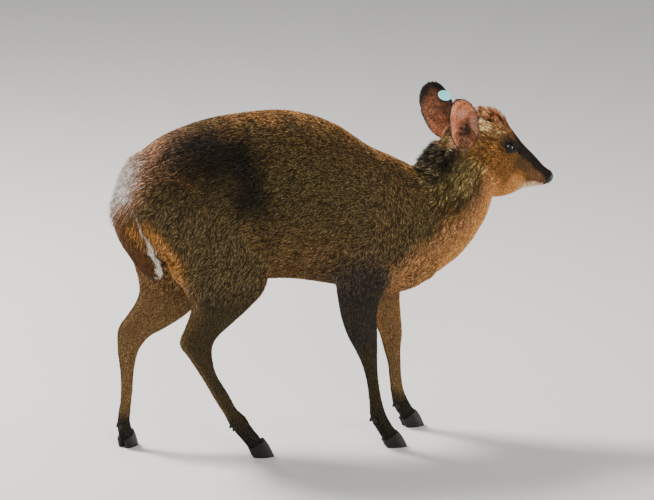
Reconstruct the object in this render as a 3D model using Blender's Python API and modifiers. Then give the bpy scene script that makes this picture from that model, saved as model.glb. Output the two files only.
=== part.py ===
"""A Reeves's muntjac doe, life size: a still model that stands on its four feet.

Metres, +Z up, +X towards the head, +Y to the animal's left. The animal is modelled about
a point on the ground under its trunk. At the end the whole of it is moved, so that the
origin lies on the ground under the middle of its bounding box.
"""

import math

import bmesh
import bpy
import numpy as np
from mathutils import Matrix, Vector

NAME = "muntjac"
LEFT = 1.0
RIGHT = -1.0

# Gaps and mesh sizes
GAP = 0.0003
BODY_VOXEL = 0.0045
HEAD_VOXEL = 0.0025
BODY_TRIANGLES = 4800
HEAD_TRIANGLES = 2300
LOFT_SIDES = 28
LOFT_STEP = 0.006
# A small step along or round a loft, from which its slope is taken
LOFT_NUDGE = 0.02

# A section of the body is (upper x, upper z, lower x, lower z, half width, y, widest).
# Upper and lower are where it meets the outline. Widest is how far down from the upper
# point, from 0 to 1, the section is at its full width.
TRUNK = (
    (-0.317, 0.446, -0.314, 0.388, 0.030, 0.0, 0.50),
    (-0.303, 0.489, -0.297, 0.354, 0.053, 0.0, 0.50),
    (-0.268, 0.523, -0.266, 0.336, 0.071, 0.0, 0.50),
    (-0.195, 0.557, -0.193, 0.322, 0.087, 0.0, 0.52),
    (-0.107, 0.572, -0.107, 0.292, 0.093, 0.0, 0.54),
    (-0.030, 0.572, -0.030, 0.287, 0.094, 0.0, 0.55),
    (0.045, 0.548, 0.044, 0.273, 0.088, 0.0, 0.55),
    (0.109, 0.506, 0.106, 0.258, 0.079, 0.0, 0.54),
    (0.153, 0.485, 0.158, 0.250, 0.073, 0.0, 0.52),
    (0.190, 0.461, 0.203, 0.263, 0.064, 0.0, 0.50),
    (0.220, 0.420, 0.232, 0.288, 0.048, 0.0, 0.50),
    (0.238, 0.380, 0.242, 0.322, 0.024, 0.0, 0.50),
)
NECK = (
    (0.150, 0.458, 0.200, 0.266, 0.060, 0.0, 0.50),
    (0.193, 0.458, 0.238, 0.285, 0.059, 0.0, 0.50),
    (0.209, 0.474, 0.271, 0.308, 0.055, 0.0, 0.48),
    (0.223, 0.492, 0.298, 0.339, 0.050, 0.0, 0.46),
    (0.237, 0.507, 0.318, 0.373, 0.046, 0.0, 0.45),
    (0.252, 0.518, 0.328, 0.402, 0.042, 0.0, 0.45),
    (0.270, 0.524, 0.336, 0.422, 0.037, 0.0, 0.45),
)
# Legs, front and back edge, from the body down to the end of the pastern
FORELEG_RIGHT = (
    (0.158, 0.450, 0.090, 0.462, 0.008, 0.046, 0.50),
    (0.200, 0.400, 0.060, 0.405, 0.029, 0.050, 0.50),
    (0.200, 0.345, 0.040, 0.345, 0.032, 0.054, 0.50),
    (0.157, 0.305, 0.033, 0.308, 0.029, 0.055, 0.50),
    (0.123, 0.273, 0.036, 0.276, 0.026, 0.055, 0.50),
    (0.111, 0.236, 0.045, 0.234, 0.0225, 0.054, 0.50),
    (0.1125, 0.196, 0.059, 0.196, 0.0185, 0.053, 0.50),
    (0.1135, 0.166, 0.076, 0.166, 0.0155, 0.052, 0.50),
    (0.1145, 0.146, 0.087, 0.144, 0.0130, 0.051, 0.50),
    (0.1165, 0.123, 0.0945, 0.120, 0.0105, 0.051, 0.50),
    (0.1240, 0.083, 0.1015, 0.080, 0.0105, 0.051, 0.50),
    (0.1320, 0.059, 0.1060, 0.049, 0.0130, 0.050, 0.50),
    (0.1410, 0.042, 0.1175, 0.029, 0.0120, 0.050, 0.50),
    (0.1520, 0.026, 0.1295, 0.011, 0.0120, 0.050, 0.50),
    (0.1600, 0.012, 0.1385, -0.004, 0.0120, 0.050, 0.50),
)
FORELEG_LEFT = (
    (0.163, 0.450, 0.095, 0.462, 0.008, 0.046, 0.50),
    (0.208, 0.400, 0.070, 0.405, 0.029, 0.050, 0.50),
    (0.220, 0.345, 0.066, 0.345, 0.032, 0.054, 0.50),
    (0.210, 0.305, 0.080, 0.305, 0.029, 0.055, 0.50),
    (0.196, 0.265, 0.105, 0.270, 0.026, 0.055, 0.50),
    (0.192, 0.228, 0.126, 0.226, 0.0225, 0.055, 0.50),
    (0.1945, 0.196, 0.1425, 0.194, 0.0190, 0.054, 0.50),
    (0.1970, 0.165, 0.1570, 0.161, 0.0160, 0.053, 0.50),
    (0.1950, 0.142, 0.1645, 0.136, 0.0135, 0.052, 0.50),
    (0.1955, 0.119, 0.1715, 0.114, 0.0110, 0.052, 0.50),
    (0.1980, 0.089, 0.1760, 0.083, 0.0102, 0.052, 0.50),
    (0.2025, 0.066, 0.1800, 0.058, 0.0108, 0.052, 0.50),
    (0.2095, 0.050, 0.1850, 0.038, 0.0128, 0.052, 0.50),
    (0.2200, 0.032, 0.1980, 0.017, 0.0118, 0.052, 0.50),
    (0.2300, 0.016, 0.2090, 0.000, 0.0118, 0.052, 0.50),
)
HIND_LEG_RIGHT = (
    (-0.150, 0.490, -0.265, 0.490, 0.008, 0.044, 0.50),
    (-0.105, 0.440, -0.312, 0.432, 0.037, 0.046, 0.50),
    (-0.086, 0.385, -0.306, 0.395, 0.040, 0.051, 0.50),
    (-0.078, 0.335, -0.287, 0.368, 0.040, 0.055, 0.50),
    (-0.083, 0.289, -0.267, 0.347, 0.037, 0.056, 0.50),
    (-0.109, 0.259, -0.249, 0.321, 0.033, 0.056, 0.50),
    (-0.135, 0.236, -0.226, 0.295, 0.027, 0.055, 0.50),
    (-0.160, 0.215, -0.213, 0.264, 0.0215, 0.054, 0.50),
    (-0.171, 0.199, -0.222, 0.231, 0.0175, 0.053, 0.50),
    (-0.173, 0.183, -0.231, 0.205, 0.0150, 0.052, 0.50),
    (-0.170, 0.163, -0.214, 0.177, 0.0135, 0.052, 0.50),
    (-0.164, 0.146, -0.192, 0.143, 0.0120, 0.051, 0.50),
    (-0.143, 0.112, -0.1655, 0.098, 0.0108, 0.050, 0.50),
    (-0.1275, 0.085, -0.1495, 0.073, 0.0108, 0.049, 0.50),
    (-0.1130, 0.071, -0.1395, 0.055, 0.0130, 0.048, 0.50),
    (-0.1005, 0.051, -0.1230, 0.035, 0.0120, 0.047, 0.50),
    (-0.0870, 0.034, -0.1090, 0.018, 0.0120, 0.046, 0.50),
    (-0.0750, 0.020, -0.0970, 0.003, 0.0120, 0.045, 0.50),
)
HIND_LEG_LEFT = (
    (-0.150, 0.490, -0.265, 0.490, 0.008, 0.044, 0.50),
    (-0.108, 0.440, -0.314, 0.432, 0.037, 0.046, 0.50),
    (-0.096, 0.385, -0.310, 0.395, 0.040, 0.051, 0.50),
    (-0.098, 0.335, -0.298, 0.365, 0.040, 0.056, 0.50),
    (-0.117, 0.292, -0.285, 0.332, 0.037, 0.058, 0.50),
    (-0.147, 0.256, -0.272, 0.300, 0.032, 0.060, 0.50),
    (-0.180, 0.222, -0.266, 0.272, 0.026, 0.060, 0.50),
    (-0.216, 0.200, -0.271, 0.250, 0.0210, 0.060, 0.50),
    (-0.245, 0.186, -0.284, 0.229, 0.0175, 0.060, 0.50),
    (-0.260, 0.170, -0.300, 0.206, 0.0150, 0.060, 0.50),
    (-0.2685, 0.148, -0.3015, 0.168, 0.0130, 0.060, 0.50),
    (-0.2715, 0.128, -0.2970, 0.133, 0.0113, 0.060, 0.50),
    (-0.2745, 0.083, -0.2955, 0.083, 0.0102, 0.060, 0.50),
    (-0.2770, 0.060, -0.2990, 0.055, 0.0112, 0.060, 0.50),
    (-0.2775, 0.046, -0.3000, 0.037, 0.0126, 0.061, 0.50),
    (-0.2730, 0.030, -0.2955, 0.016, 0.0118, 0.062, 0.50),
    (-0.2665, 0.013, -0.2890, -0.002, 0.0118, 0.063, 0.50),
)
# Tail, outer and inner edge, hanging over the buttocks
TAIL = (
    (-0.318, 0.458, -0.292, 0.450, 0.014, 0.0, 0.50),
    (-0.329, 0.430, -0.297, 0.420, 0.023, 0.0, 0.45),
    (-0.329, 0.398, -0.293, 0.392, 0.030, 0.0, 0.45),
    (-0.320, 0.370, -0.281, 0.364, 0.034, 0.0, 0.45),
    (-0.304, 0.343, -0.265, 0.342, 0.032, 0.0, 0.45),
    (-0.286, 0.317, -0.251, 0.322, 0.023, 0.0, 0.45),
    (-0.267, 0.299, -0.247, 0.304, 0.009, 0.0, 0.45),
)
TAIL_MIDDLE = (-0.30, 0.0, 0.38)

# Head frame: u runs to the nose, v up through the forehead
HEAD_CENTRE = Vector((0.352, 0.0, 0.486))
HEAD_PITCH = math.radians(-30.0)
HEAD_U = Vector((math.cos(HEAD_PITCH), 0.0, math.sin(HEAD_PITCH)))
HEAD_V = Vector((-math.sin(HEAD_PITCH), 0.0, math.cos(HEAD_PITCH)))
# Skull and muzzle: (u, top v, bottom v, half width, widest)
SKULL = (
    (-0.098, 0.004, -0.055, 0.028, 0.45),
    (-0.080, 0.026, -0.074, 0.0350, 0.42),
    (-0.055, 0.0395, -0.084, 0.0375, 0.34),
    (-0.028, 0.0385, -0.088, 0.0380, 0.30),
    (-0.006, 0.0315, -0.088, 0.0355, 0.28),
    (0.012, 0.0245, -0.0845, 0.0305, 0.28),
    (0.028, 0.0200, -0.0790, 0.0262, 0.32),
    (0.044, 0.0165, -0.0660, 0.0225, 0.38),
    (0.060, 0.0120, -0.0460, 0.0200, 0.45),
    (0.075, 0.0075, -0.0335, 0.0185, 0.50),
    (0.087, 0.0060, -0.0255, 0.0165, 0.52),
    (0.0935, 0.0040, -0.0185, 0.0140, 0.52),
    (0.0975, 0.0005, -0.0150, 0.0105, 0.50),
    (0.0990, -0.0045, -0.0100, 0.0045, 0.50),
)

# Cuts between the nodes: a point in the cut, its normal, and the plate's width and length
HEAD_CUT = (Vector((0.2600, 0.0, 0.4338)), Vector((0.450, 0.0, 0.893)))
TRUNK_CUT = (Vector((-0.0300, 0.0, 0.4300)), Vector((1.0, 0.0, 0.0)))
NECK_CUT = (Vector((0.2210, 0.0, 0.3700)), Vector((0.956, 0.0, 0.290)))
LEG_CUTS = (
    (Vector((-0.180, -0.058, 0.3060)), Vector((0.270, 0.0, 0.960)), (0.116, 0.260)),
    (Vector((-0.195, 0.058, 0.3030)), Vector((0.200, 0.0, 0.980)), (0.116, 0.260)),
    (Vector((0.078, -0.060, 0.2400)), Vector((0.0, 0.0, 1.0)), (0.100, 0.120)),
    (Vector((0.160, 0.060, 0.2360)), Vector((0.0, 0.0, 1.0)), (0.100, 0.110)),
    (Vector((-0.200, -0.053, 0.1880)), Vector((0.340, 0.0, 0.940)), (0.060, 0.110)),
    (Vector((-0.281, 0.060, 0.1840)), Vector((0.660, 0.0, 0.750)), (0.060, 0.100)),
    (Vector((0.098, -0.051, 0.1560)), Vector((0.0, 0.0, 1.0)), (0.060, 0.090)),
    (Vector((0.182, 0.052, 0.1510)), Vector((-0.150, 0.0, 0.990)), (0.060, 0.090)),
)
WIDE_CUT = 0.40
FOOT_SPACE = (0.060, 0.050)
# Roughly the middle of each node of the body
BODY_NODES = {
    "chest": (0.10, 0.0, 0.40),
    "hindquarters": (-0.17, 0.0, 0.42),
    "neck": (0.25, 0.0, 0.41),
    "gaskin_right": (-0.175, -0.055, 0.26),
    "gaskin_left": (-0.21, 0.06, 0.25),
    "forearm_right": (0.08, -0.053, 0.20),
    "forearm_left": (0.16, 0.053, 0.19),
    "hind_cannon_right": (-0.15, -0.05, 0.11),
    "hind_cannon_left": (-0.28, 0.06, 0.10),
    "fore_cannon_right": (0.12, -0.05, 0.09),
    "fore_cannon_left": (0.205, 0.052, 0.09),
}

# Eyes
EYE_U = -0.0145
EYE_V = 0.0035
EYE_Y = 0.0290
EYE_RADIUS = 0.0125
EYE_OUT = (0.14, 0.12)
EYE_FORWARD = (0.93, -0.12)
LID_THICKNESS = 0.0019
LID_OPENING_LENGTH = 0.0235
LID_OPENING_HEIGHT = 0.0125
# An eye-shaped outline: its arcs rise by a sine, flattened towards the corners
LID_CORNER_POWER = 0.3

# Ears: the shell is rolled at its root and opens to the side
EAR_ROOT = Vector((0.2620, 0.0335, 0.5055))
EAR_AXIS = Vector((-0.0250, 0.0350, 0.0800))
EAR_OPENING = Vector((0.10, 0.97, 0.10))
EAR_THICKNESS = 0.0026
# Length of each ear beside the axis above
EAR_REACH = {LEFT: 1.03, RIGHT: 0.96}
EAR_SHAPE = (
    (-0.16, 0.0150, 2.20),
    (0.00, 0.0175, 2.10),
    (0.15, 0.0265, 1.55),
    (0.35, 0.0345, 1.28),
    (0.55, 0.0345, 1.15),
    (0.75, 0.0295, 1.05),
    (0.88, 0.0225, 0.90),
    (0.96, 0.0145, 0.70),
    (1.00, 0.0055, 0.50),
)
EAR_ROWS = 13
EAR_COLUMNS = 10

# Ear tag on the left ear: two discs on a pin
TAG_RADIUS = 0.0112
TAG_THICKNESS = 0.0020
TAG_BEVEL = 0.0008
TAG_PIN_RADIUS = 0.0016
TAG_BACK_RADIUS = 0.0080
TAG_CLEARANCE = (0.0020, 0.0036)
TAG_ALONG = 0.66
TAG_ACROSS = 0.45

# Feet: middle of the sole, y, middle of the coronet, its height, and the toe's turn out
FEET = {
    "fore_right": (0.1520, -0.050, 0.1400, 0.0185, 5.0),
    "fore_left": (0.2230, 0.052, 0.2105, 0.0210, 5.0),
    "hind_right": (-0.0810, -0.046, -0.0930, 0.0215, 6.0),
    "hind_left": (-0.2745, 0.062, -0.2840, 0.0205, 38.0),
}
CORONET_SLOPE = math.radians(33.0)
CLAW_LENGTH = 0.0360
CLAW_WIDTH = 0.0122
CLAW_CLEFT = 0.0014
CLAW_TOP_LENGTH = 0.0250
CLAW_TOP_WIDTH = 0.0118
CLAW_POINTS = 12
# The middle level's length and width beside the sole's, how far the toe narrows and how
# far it is drawn inwards
CLAW_MIDDLE = (0.90, 1.05)
CLAW_TOE_NARROW = 0.35
CLAW_TOE_INWARD = 0.30
# The middle level rises from heel to toe less than the coronet does
CLAW_MIDDLE_SLOPE = 0.8
# Dewclaws: where each pair leaves the back of the fetlock
DEWCLAWS = {
    "fore_right": (0.1120, 0.0500),
    "fore_left": (0.1915, 0.0400),
    "hind_right": (-0.1320, 0.0560),
    "hind_left": (-0.2930, 0.0390),
}
DEWCLAW_SPREAD = 0.0075
DEWCLAW_RADIUS = 0.0040
DEWCLAW_LENGTH = 0.0150
DEWCLAW_TIP = 0.35
DEWCLAW_LIE = (-0.55, 0.15, -0.80)

# Nose pad: the plane behind it, and the nostrils
NOSE_CUT = (0.0885, -0.0050)
NOSE_NORMAL = (0.850, 0.526)
NOSE_PLATE = (0.050, 0.050)
NOSTRIL = (0.0925, -0.0040, 0.0085)
NOSTRIL_RADIUS = 0.0022
NOSTRIL_OUT = (0.60, 0.80)
NOSTRIL_DEPTH = 0.002
# Mouth: its corner and its front, in the head's frame
MOUTH_CORNER = (0.0366, -0.0262)
MOUTH_FRONT = (0.0930, -0.0172)
MOUTH_GAP = 0.0009
MOUTH_OVERRUN = 0.020
# Scent gland below the front corner of the eye
GLAND = (0.0090, 0.0050)
GLAND_SIDE = 0.026
GLAND_LIE = (0.80, -0.60)
GLAND_LENGTH = 0.0150
GLAND_HEIGHT = 0.0024
# How far the cutting shapes reach beyond the surface that they cut
REACH = 0.020

# Locks. A group is (first and last place along its part, rows, first and last angle round
# it, locks in a row, length, width, lift, bend, seed). Lift is the rise of a lock beside
# its length, and bend the share of that which it loses again towards the tip.
NAPE_LOCKS = (0.22, 0.97, 9, -0.62, 0.62, 4, 0.0250, 0.0110, 0.50, 0.42, 11)
CROWN_LOCKS = (0.10, 0.42, 4, -0.50, 0.50, 4, 0.0200, 0.0100, 0.22, 0.40, 23)
TAIL_LOCKS = (0.50, 0.93, 4, 2.35, 3.93, 3, 0.0240, 0.0110, 0.30, 0.30, 37)
LOCK_THICKNESS = 0.28
# How far a lock strays along and across its row beside the space between locks, how far
# every other row is set over, how far its lie strays, and its least and greatest size
LOCK_SCATTER = (0.30, 0.20)
LOCK_STAGGER = 0.25
LOCK_STRAY = 0.12
LOCK_SIZES = (0.85, 1.12)
# How far the nape's locks turn aside and down, and the crown's aside
NAPE_LIE = (0.45, -0.25)
CROWN_ASIDE = 0.35
# Places along a lock, less than 0 inside the flesh, and its width there beside its widest
LOCK_RINGS = ((-0.32, 0.80), (0.08, 1.00), (0.45, 0.86), (0.78, 0.50))

# Colours: (red, green, blue), roughness
COAT_BROWN = ((0.150, 0.078, 0.034), 0.85)
COAT_DARK = ((0.060, 0.040, 0.024), 0.85)
COAT_TAIL = ((0.260, 0.110, 0.040), 0.85)
EAR_SKIN = ((0.220, 0.095, 0.060), 0.75)
NOSE_BLACK = ((0.012, 0.011, 0.011), 0.35)
EYE_BLACK = ((0.010, 0.008, 0.007), 0.08)
HORN_GREY = ((0.045, 0.038, 0.034), 0.50)
TAG_BLUE = ((0.300, 0.620, 0.780), 0.40)


def collection(name):
    """A new collection in the scene."""
    made = bpy.data.collections.new(name)
    bpy.context.scene.collection.children.link(made)
    return made


def face_out(mesh):
    """Turn the faces of a closed mesh outwards."""
    shape = bmesh.new()
    shape.from_mesh(mesh)
    bmesh.ops.recalc_face_normals(shape, faces=shape.faces)
    shape.to_mesh(mesh)
    shape.free()


def mesh_object(name, vertices, faces, group):
    """An object from points and faces, with its faces pointing out."""
    mesh = bpy.data.meshes.new(name)
    mesh.from_pydata([tuple(v) for v in vertices], [], faces)
    face_out(mesh)
    made = bpy.data.objects.new(name, mesh)
    group.objects.link(made)
    return made


def bake(thing):
    """Replace the object's mesh by what its modifiers make of it."""
    graph = bpy.context.evaluated_depsgraph_get()
    mesh = bpy.data.meshes.new_from_object(thing.evaluated_get(graph))
    thing.modifiers.clear()
    thing.data = mesh
    return thing


def curve_rows(stations, step):
    """Sections about one step apart on a smooth curve through the stations."""
    rows = np.array(stations)
    middle = (rows[:, 0:2] + rows[:, 2:4]) / 2
    spacing = np.maximum(np.linalg.norm(np.diff(middle, axis=0), axis=1), step / 2)
    knots = np.concatenate(([0.0], np.cumsum(spacing)))
    slope = np.diff(rows, axis=0) / spacing[:, None]
    before, after = spacing[:-1, None], spacing[1:, None]
    tangent = np.vstack(
        (slope[:1], (slope[:-1] * after + slope[1:] * before) / (before + after), slope[-1:])
    )
    at = np.linspace(0.0, knots[-1], int(knots[-1] / step) + 2)
    left = np.clip(np.searchsorted(knots, at, side="right") - 1, 0, len(spacing) - 1)
    width = spacing[left][:, None]
    t = (at - knots[left])[:, None] / width
    start = (1 + 2 * t) * (1 - t) ** 2 * rows[left] + t * (1 - t) ** 2 * width * tangent[left]
    end = t**2 * (3 - 2 * t) * rows[left + 1] + t**2 * (t - 1) * width * tangent[left + 1]
    return start + end


def loft_mesh(stations, side=1.0, grow=0.0, sides=LOFT_SIDES, step=LOFT_STEP):
    """Points and faces of a closed tube through egg-shaped sections.

    Down a section a point lies between the upper and lower edge by a cosine, and across
    by a sine. Grow makes every section that much larger all round.
    """
    rows = curve_rows(stations, step)
    upper = rows[:, None, 0:2]
    lower = rows[:, None, 2:4]
    reach = np.linalg.norm(upper - lower, axis=2, keepdims=True)
    widest = rows[:, None, 6:7]
    turn = np.linspace(0.0, 2 * np.pi, sides, endpoint=False)[None, :, None]
    down = np.where(np.cos(turn) > 0, widest, 1 - widest) * -np.cos(turn)
    down = widest + down * (1 + 2 * grow / reach)
    place = upper + (lower - upper) * down
    across = side * rows[:, None, 5:6] + (rows[:, None, 4:5] + grow) * np.sin(turn)
    points = np.concatenate((place[..., :1], across, place[..., 1:]), axis=2)
    count = len(rows)
    faces = []
    for ring in range(count - 1):
        for k in range(sides):
            a = ring * sides + k
            b = ring * sides + (k + 1) % sides
            faces.append((a, b, b + sides, a + sides))
    faces.append(tuple(range(sides)))
    faces.append(tuple(range((count - 1) * sides, count * sides)))
    return points.reshape(-1, 3), faces


def mesh_of(thing):
    """Points and faces of an object, which is then removed."""
    points = [vertex.co.copy() for vertex in thing.data.vertices]
    polygons = [tuple(polygon.vertices) for polygon in thing.data.polygons]
    bpy.data.objects.remove(thing)
    return points, polygons


def joined(name, meshes, group):
    """One object from several closed meshes, still overlapping."""
    vertices = []
    faces = []
    for points, polygons in meshes:
        start = len(vertices)
        vertices.extend(points)
        faces.extend(tuple(start + i for i in face) for face in polygons)
    return mesh_object(name, vertices, faces, group)


def flesh(thing, voxel, triangles, smoothing, softness):
    """Fuse overlapping lofts to one skin, smooth where they meet, and thin the mesh.

    Softness gives each point's share of the smoothing from its position.
    """
    remesh = thing.modifiers.new("fuse", "REMESH")
    remesh.mode = "VOXEL"
    remesh.voxel_size = voxel
    bake(thing)
    group = thing.vertex_groups.new(name="soft")
    for vertex in thing.data.vertices:
        group.add([vertex.index], softness(vertex.co), "REPLACE")
    smooth = thing.modifiers.new("smooth", "SMOOTH")
    smooth.factor = 0.5
    smooth.iterations = smoothing
    smooth.vertex_group = group.name
    bake(thing)
    thing.vertex_groups.clear()
    thin = thing.modifiers.new("thin", "DECIMATE")
    thin.ratio = triangles / (2 * len(thing.data.polygons))
    thin.use_collapse_triangulate = True
    return bake(thing)


def head_point(u, v, y=0.0):
    """A place in the head's own frame, in the animal's."""
    return HEAD_CENTRE + HEAD_U * u + HEAD_V * v + Vector((0.0, y, 0.0))


def skull_sections():
    """The sections of the head, from its own frame."""
    rows = []
    for u, top, bottom, half_width, widest in SKULL:
        upper = head_point(u, top)
        lower = head_point(u, bottom)
        rows.append((upper.x, upper.z, lower.x, lower.z, half_width, 0.0, widest))
    return rows


def facing(normal, lie=Vector((0.0, 1.0, 0.0))):
    """A turn that takes Z to the normal and Y as near as it can to the lie."""
    z = normal.normalized()
    x = lie.cross(z).normalized()
    y = z.cross(x)
    return Matrix((x, y, z)).transposed().to_4x4()


def toe_turn(foot):
    """The turn of a foot about the upright through its ankle, toe outwards."""
    sole_x, y, ankle_x, ankle_z, degrees = FEET[foot]
    ankle = Matrix.Translation((ankle_x, y, 0.0))
    turn = Matrix.Rotation(math.copysign(math.radians(degrees), y), 4, "Z")
    return ankle @ turn @ ankle.inverted()


def block(name, point, normal, size, depth, group):
    """A box that starts at the point and runs on along the normal."""
    bpy.ops.mesh.primitive_cube_add(size=1.0)
    made = bpy.context.active_object
    made.name = name
    shape = Matrix.Diagonal((size[0], size[1], depth, 1.0))
    made.data.transform(Matrix.Translation((0.0, 0.0, depth / 2)) @ shape)
    made.data.transform(Matrix.Translation(point) @ facing(normal))
    move_to(made, group)
    return made


def move_to(thing, group):
    """Put an object in this collection alone."""
    for old in list(thing.users_collection):
        old.objects.unlink(thing)
    group.objects.link(thing)


def boolean(thing, operation, group, solver="EXACT"):
    """Cut or join a collection of closed meshes, apply it and remove them."""
    modifier = thing.modifiers.new(operation.lower(), "BOOLEAN")
    modifier.operation = operation
    modifier.operand_type = "COLLECTION"
    modifier.collection = group
    modifier.solver = solver
    bake(thing)
    for used in list(group.objects):
        bpy.data.objects.remove(used)
    return thing


def loose_pieces(thing, group):
    """Split an object into its separate closed surfaces, largest first."""
    whole = bmesh.new()
    whole.from_mesh(thing.data)
    bmesh.ops.triangulate(whole, faces=whole.faces)
    bmesh.ops.dissolve_degenerate(whole, dist=1e-6, edges=whole.edges)
    bmesh.ops.triangulate(whole, faces=whole.faces)
    whole.verts.ensure_lookup_table()
    seen = set()
    pieces = []
    for first in whole.verts:
        if first.index in seen:
            continue
        seen.add(first.index)
        found = [first]
        for vertex in found:
            for edge in vertex.link_edges:
                other = edge.other_vert(vertex)
                if other.index not in seen:
                    seen.add(other.index)
                    found.append(other)
        new_index = {vertex.index: i for i, vertex in enumerate(found)}
        faces = {face for vertex in found for face in vertex.link_faces}
        polygons = []
        for face in sorted(faces, key=lambda f: f.index):
            polygons.append(tuple(new_index[v.index] for v in face.verts))
        pieces.append(([v.co.copy() for v in found], polygons))
    whole.free()
    pieces.sort(key=lambda piece: -len(piece[0]))
    made = [mesh_object("piece", points, polygons, group) for points, polygons in pieces]
    bpy.data.objects.remove(thing)
    return made


def middle_of(thing):
    """The middle of the object's bounding box."""
    points = np.array([thing.matrix_world @ v.co for v in thing.data.vertices])
    return Vector((points.min(axis=0) + points.max(axis=0)) / 2)


def name_pieces(pieces, probes):
    """Give each piece the name whose probe is nearest its middle, and drop scraps."""
    named = {}
    for name, probe in probes.items():
        best = min(pieces, key=lambda piece: (middle_of(piece) - Vector(probe)).length)
        best.name = name
        named[name] = best
        pieces.remove(best)
    for scrap in pieces:
        bpy.data.objects.remove(scrap)
    return named


def finish(thing, colour):
    """The object's own material, and smooth shading with its edges kept."""
    (red, green, blue), roughness = colour
    material = bpy.data.materials.new(thing.name)
    material.use_nodes = True
    shader = material.node_tree.nodes["Principled BSDF"]
    shader.inputs["Base Color"].default_value = (red, green, blue, 1.0)
    shader.inputs["Roughness"].default_value = roughness
    shader.inputs["Metallic"].default_value = 0.0
    thing.data.materials.clear()
    thing.data.materials.append(material)
    thing.data.shade_smooth()
    thing.data.set_sharp_from_angle(angle=math.radians(40.0))


def softness_of_body(point):
    """Full smoothing on the trunk, and little on the thin legs."""
    return min(1.0, max(0.15, (point.z - 0.22) / 0.08))


def loft_place(rows, along, angle):
    """A place on a loft: along runs from 0 to 1, the angle round from the upper edge."""
    at = along * (len(rows) - 1)
    first = min(int(at), len(rows) - 2)
    upper_x, upper_z, lower_x, lower_z, half_width, y, widest = (
        rows[first] + (rows[first + 1] - rows[first]) * (at - first)
    )
    upper = Vector((upper_x, y, upper_z))
    lower = Vector((lower_x, y, lower_z))
    share = widest if math.cos(angle) > 0 else 1 - widest
    down = widest - share * math.cos(angle)
    return upper + (lower - upper) * down + Vector((0.0, half_width * math.sin(angle), 0.0))


def loft_frame(rows, along, angle):
    """A place on a loft, the way straight out of it, and the way on along it."""
    place = loft_place(rows, along, angle)
    onward = (loft_place(rows, along + LOFT_NUDGE, angle) - place).normalized()
    around = loft_place(rows, along, angle + LOFT_NUDGE) - place
    out = around.cross(onward).normalized()
    middle = (loft_place(rows, along, 0.0) + loft_place(rows, along, math.pi)) / 2
    return place, out if out.dot(place - middle) > 0 else -out, onward


def lock_mesh(root, lie, out, length, width, lift, bend, grow=0.0):
    """Points and faces of a flat lock that tapers to a point and bends towards its lie.

    At a place from 0 to 1 along it, it stands off by the lift times the place less the
    bend times the place squared. Grow makes it that much larger all round.
    """
    across = lie.cross(out).normalized()
    rise = across.cross(lie).normalized()
    points = []
    for place, share in LOCK_RINGS:
        middle = root + (lie * place + rise * (lift * (place - bend * place * abs(place)))) * length
        half = across * (width * share / 2 + 3 * grow)
        thick = rise * (width * share * LOCK_THICKNESS / 2 + 2 * grow)
        points += [middle - half, middle - thick, middle + half, middle + thick]
    points.append(root + (lie + rise * (lift * (1 - bend))) * (length + 6 * grow))
    tip = len(points) - 1
    faces = [(0, 1, 2, 3)]
    for ring in range(len(LOCK_RINGS) - 1):
        for k in range(4):
            a = ring * 4 + k
            b = ring * 4 + (k + 1) % 4
            faces.append((a, b, b + 4, a + 4))
    for k in range(4):
        faces.append((tip - 4 + k, tip - 4 + (k + 1) % 4, tip))
    return points, faces


def grow_locks(stations, group, lie_of, cutters, grow=0.0):
    """A group of locks in staggered rows on a loft, each a little unlike the next."""
    first, last, rows, low, high, count, length, width, lift, bend, seed = group
    random = np.random.default_rng(seed)
    curve = curve_rows(stations, LOFT_STEP)

    def scatter(reach, size=None):
        return random.uniform(-reach, reach, size)

    for row in range(rows):
        for k in range(count):
            along = first + (last - first) * (row + scatter(LOCK_SCATTER[0])) / (rows - 1)
            stagger = LOCK_STAGGER * (-1) ** row
            share = (k + 0.5 + stagger + scatter(LOCK_SCATTER[1])) / count
            angle = low + (high - low) * share
            root, out, onward = loft_frame(curve, along, angle)
            lie = lie_of(out, onward) + Vector(scatter(LOCK_STRAY, 3))
            lie = (lie - out * lie.dot(out)).normalized()
            size = random.uniform(*LOCK_SIZES)
            shape = lock_mesh(root, lie, out, length * size, width * size, lift, bend, grow)
            mesh_object("lock", *shape, cutters)


def nape_lie(out, onward):
    """Back and down along the neck, away from its middle line."""
    return -onward + Vector((0.0, NAPE_LIE[0] * out.y, NAPE_LIE[1]))


def crown_lie(out, onward):
    """Back over the head."""
    return -onward + Vector((0.0, CROWN_ASIDE * out.y, 0.0))


def tail_lie(out, onward):
    """Straight on down the tail."""
    return onward


def tail_mesh(grow=0.0):
    """The tail, flat from back to front, or the room for it."""
    return loft_mesh(TAIL, grow=grow, sides=16, step=0.012)


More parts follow.
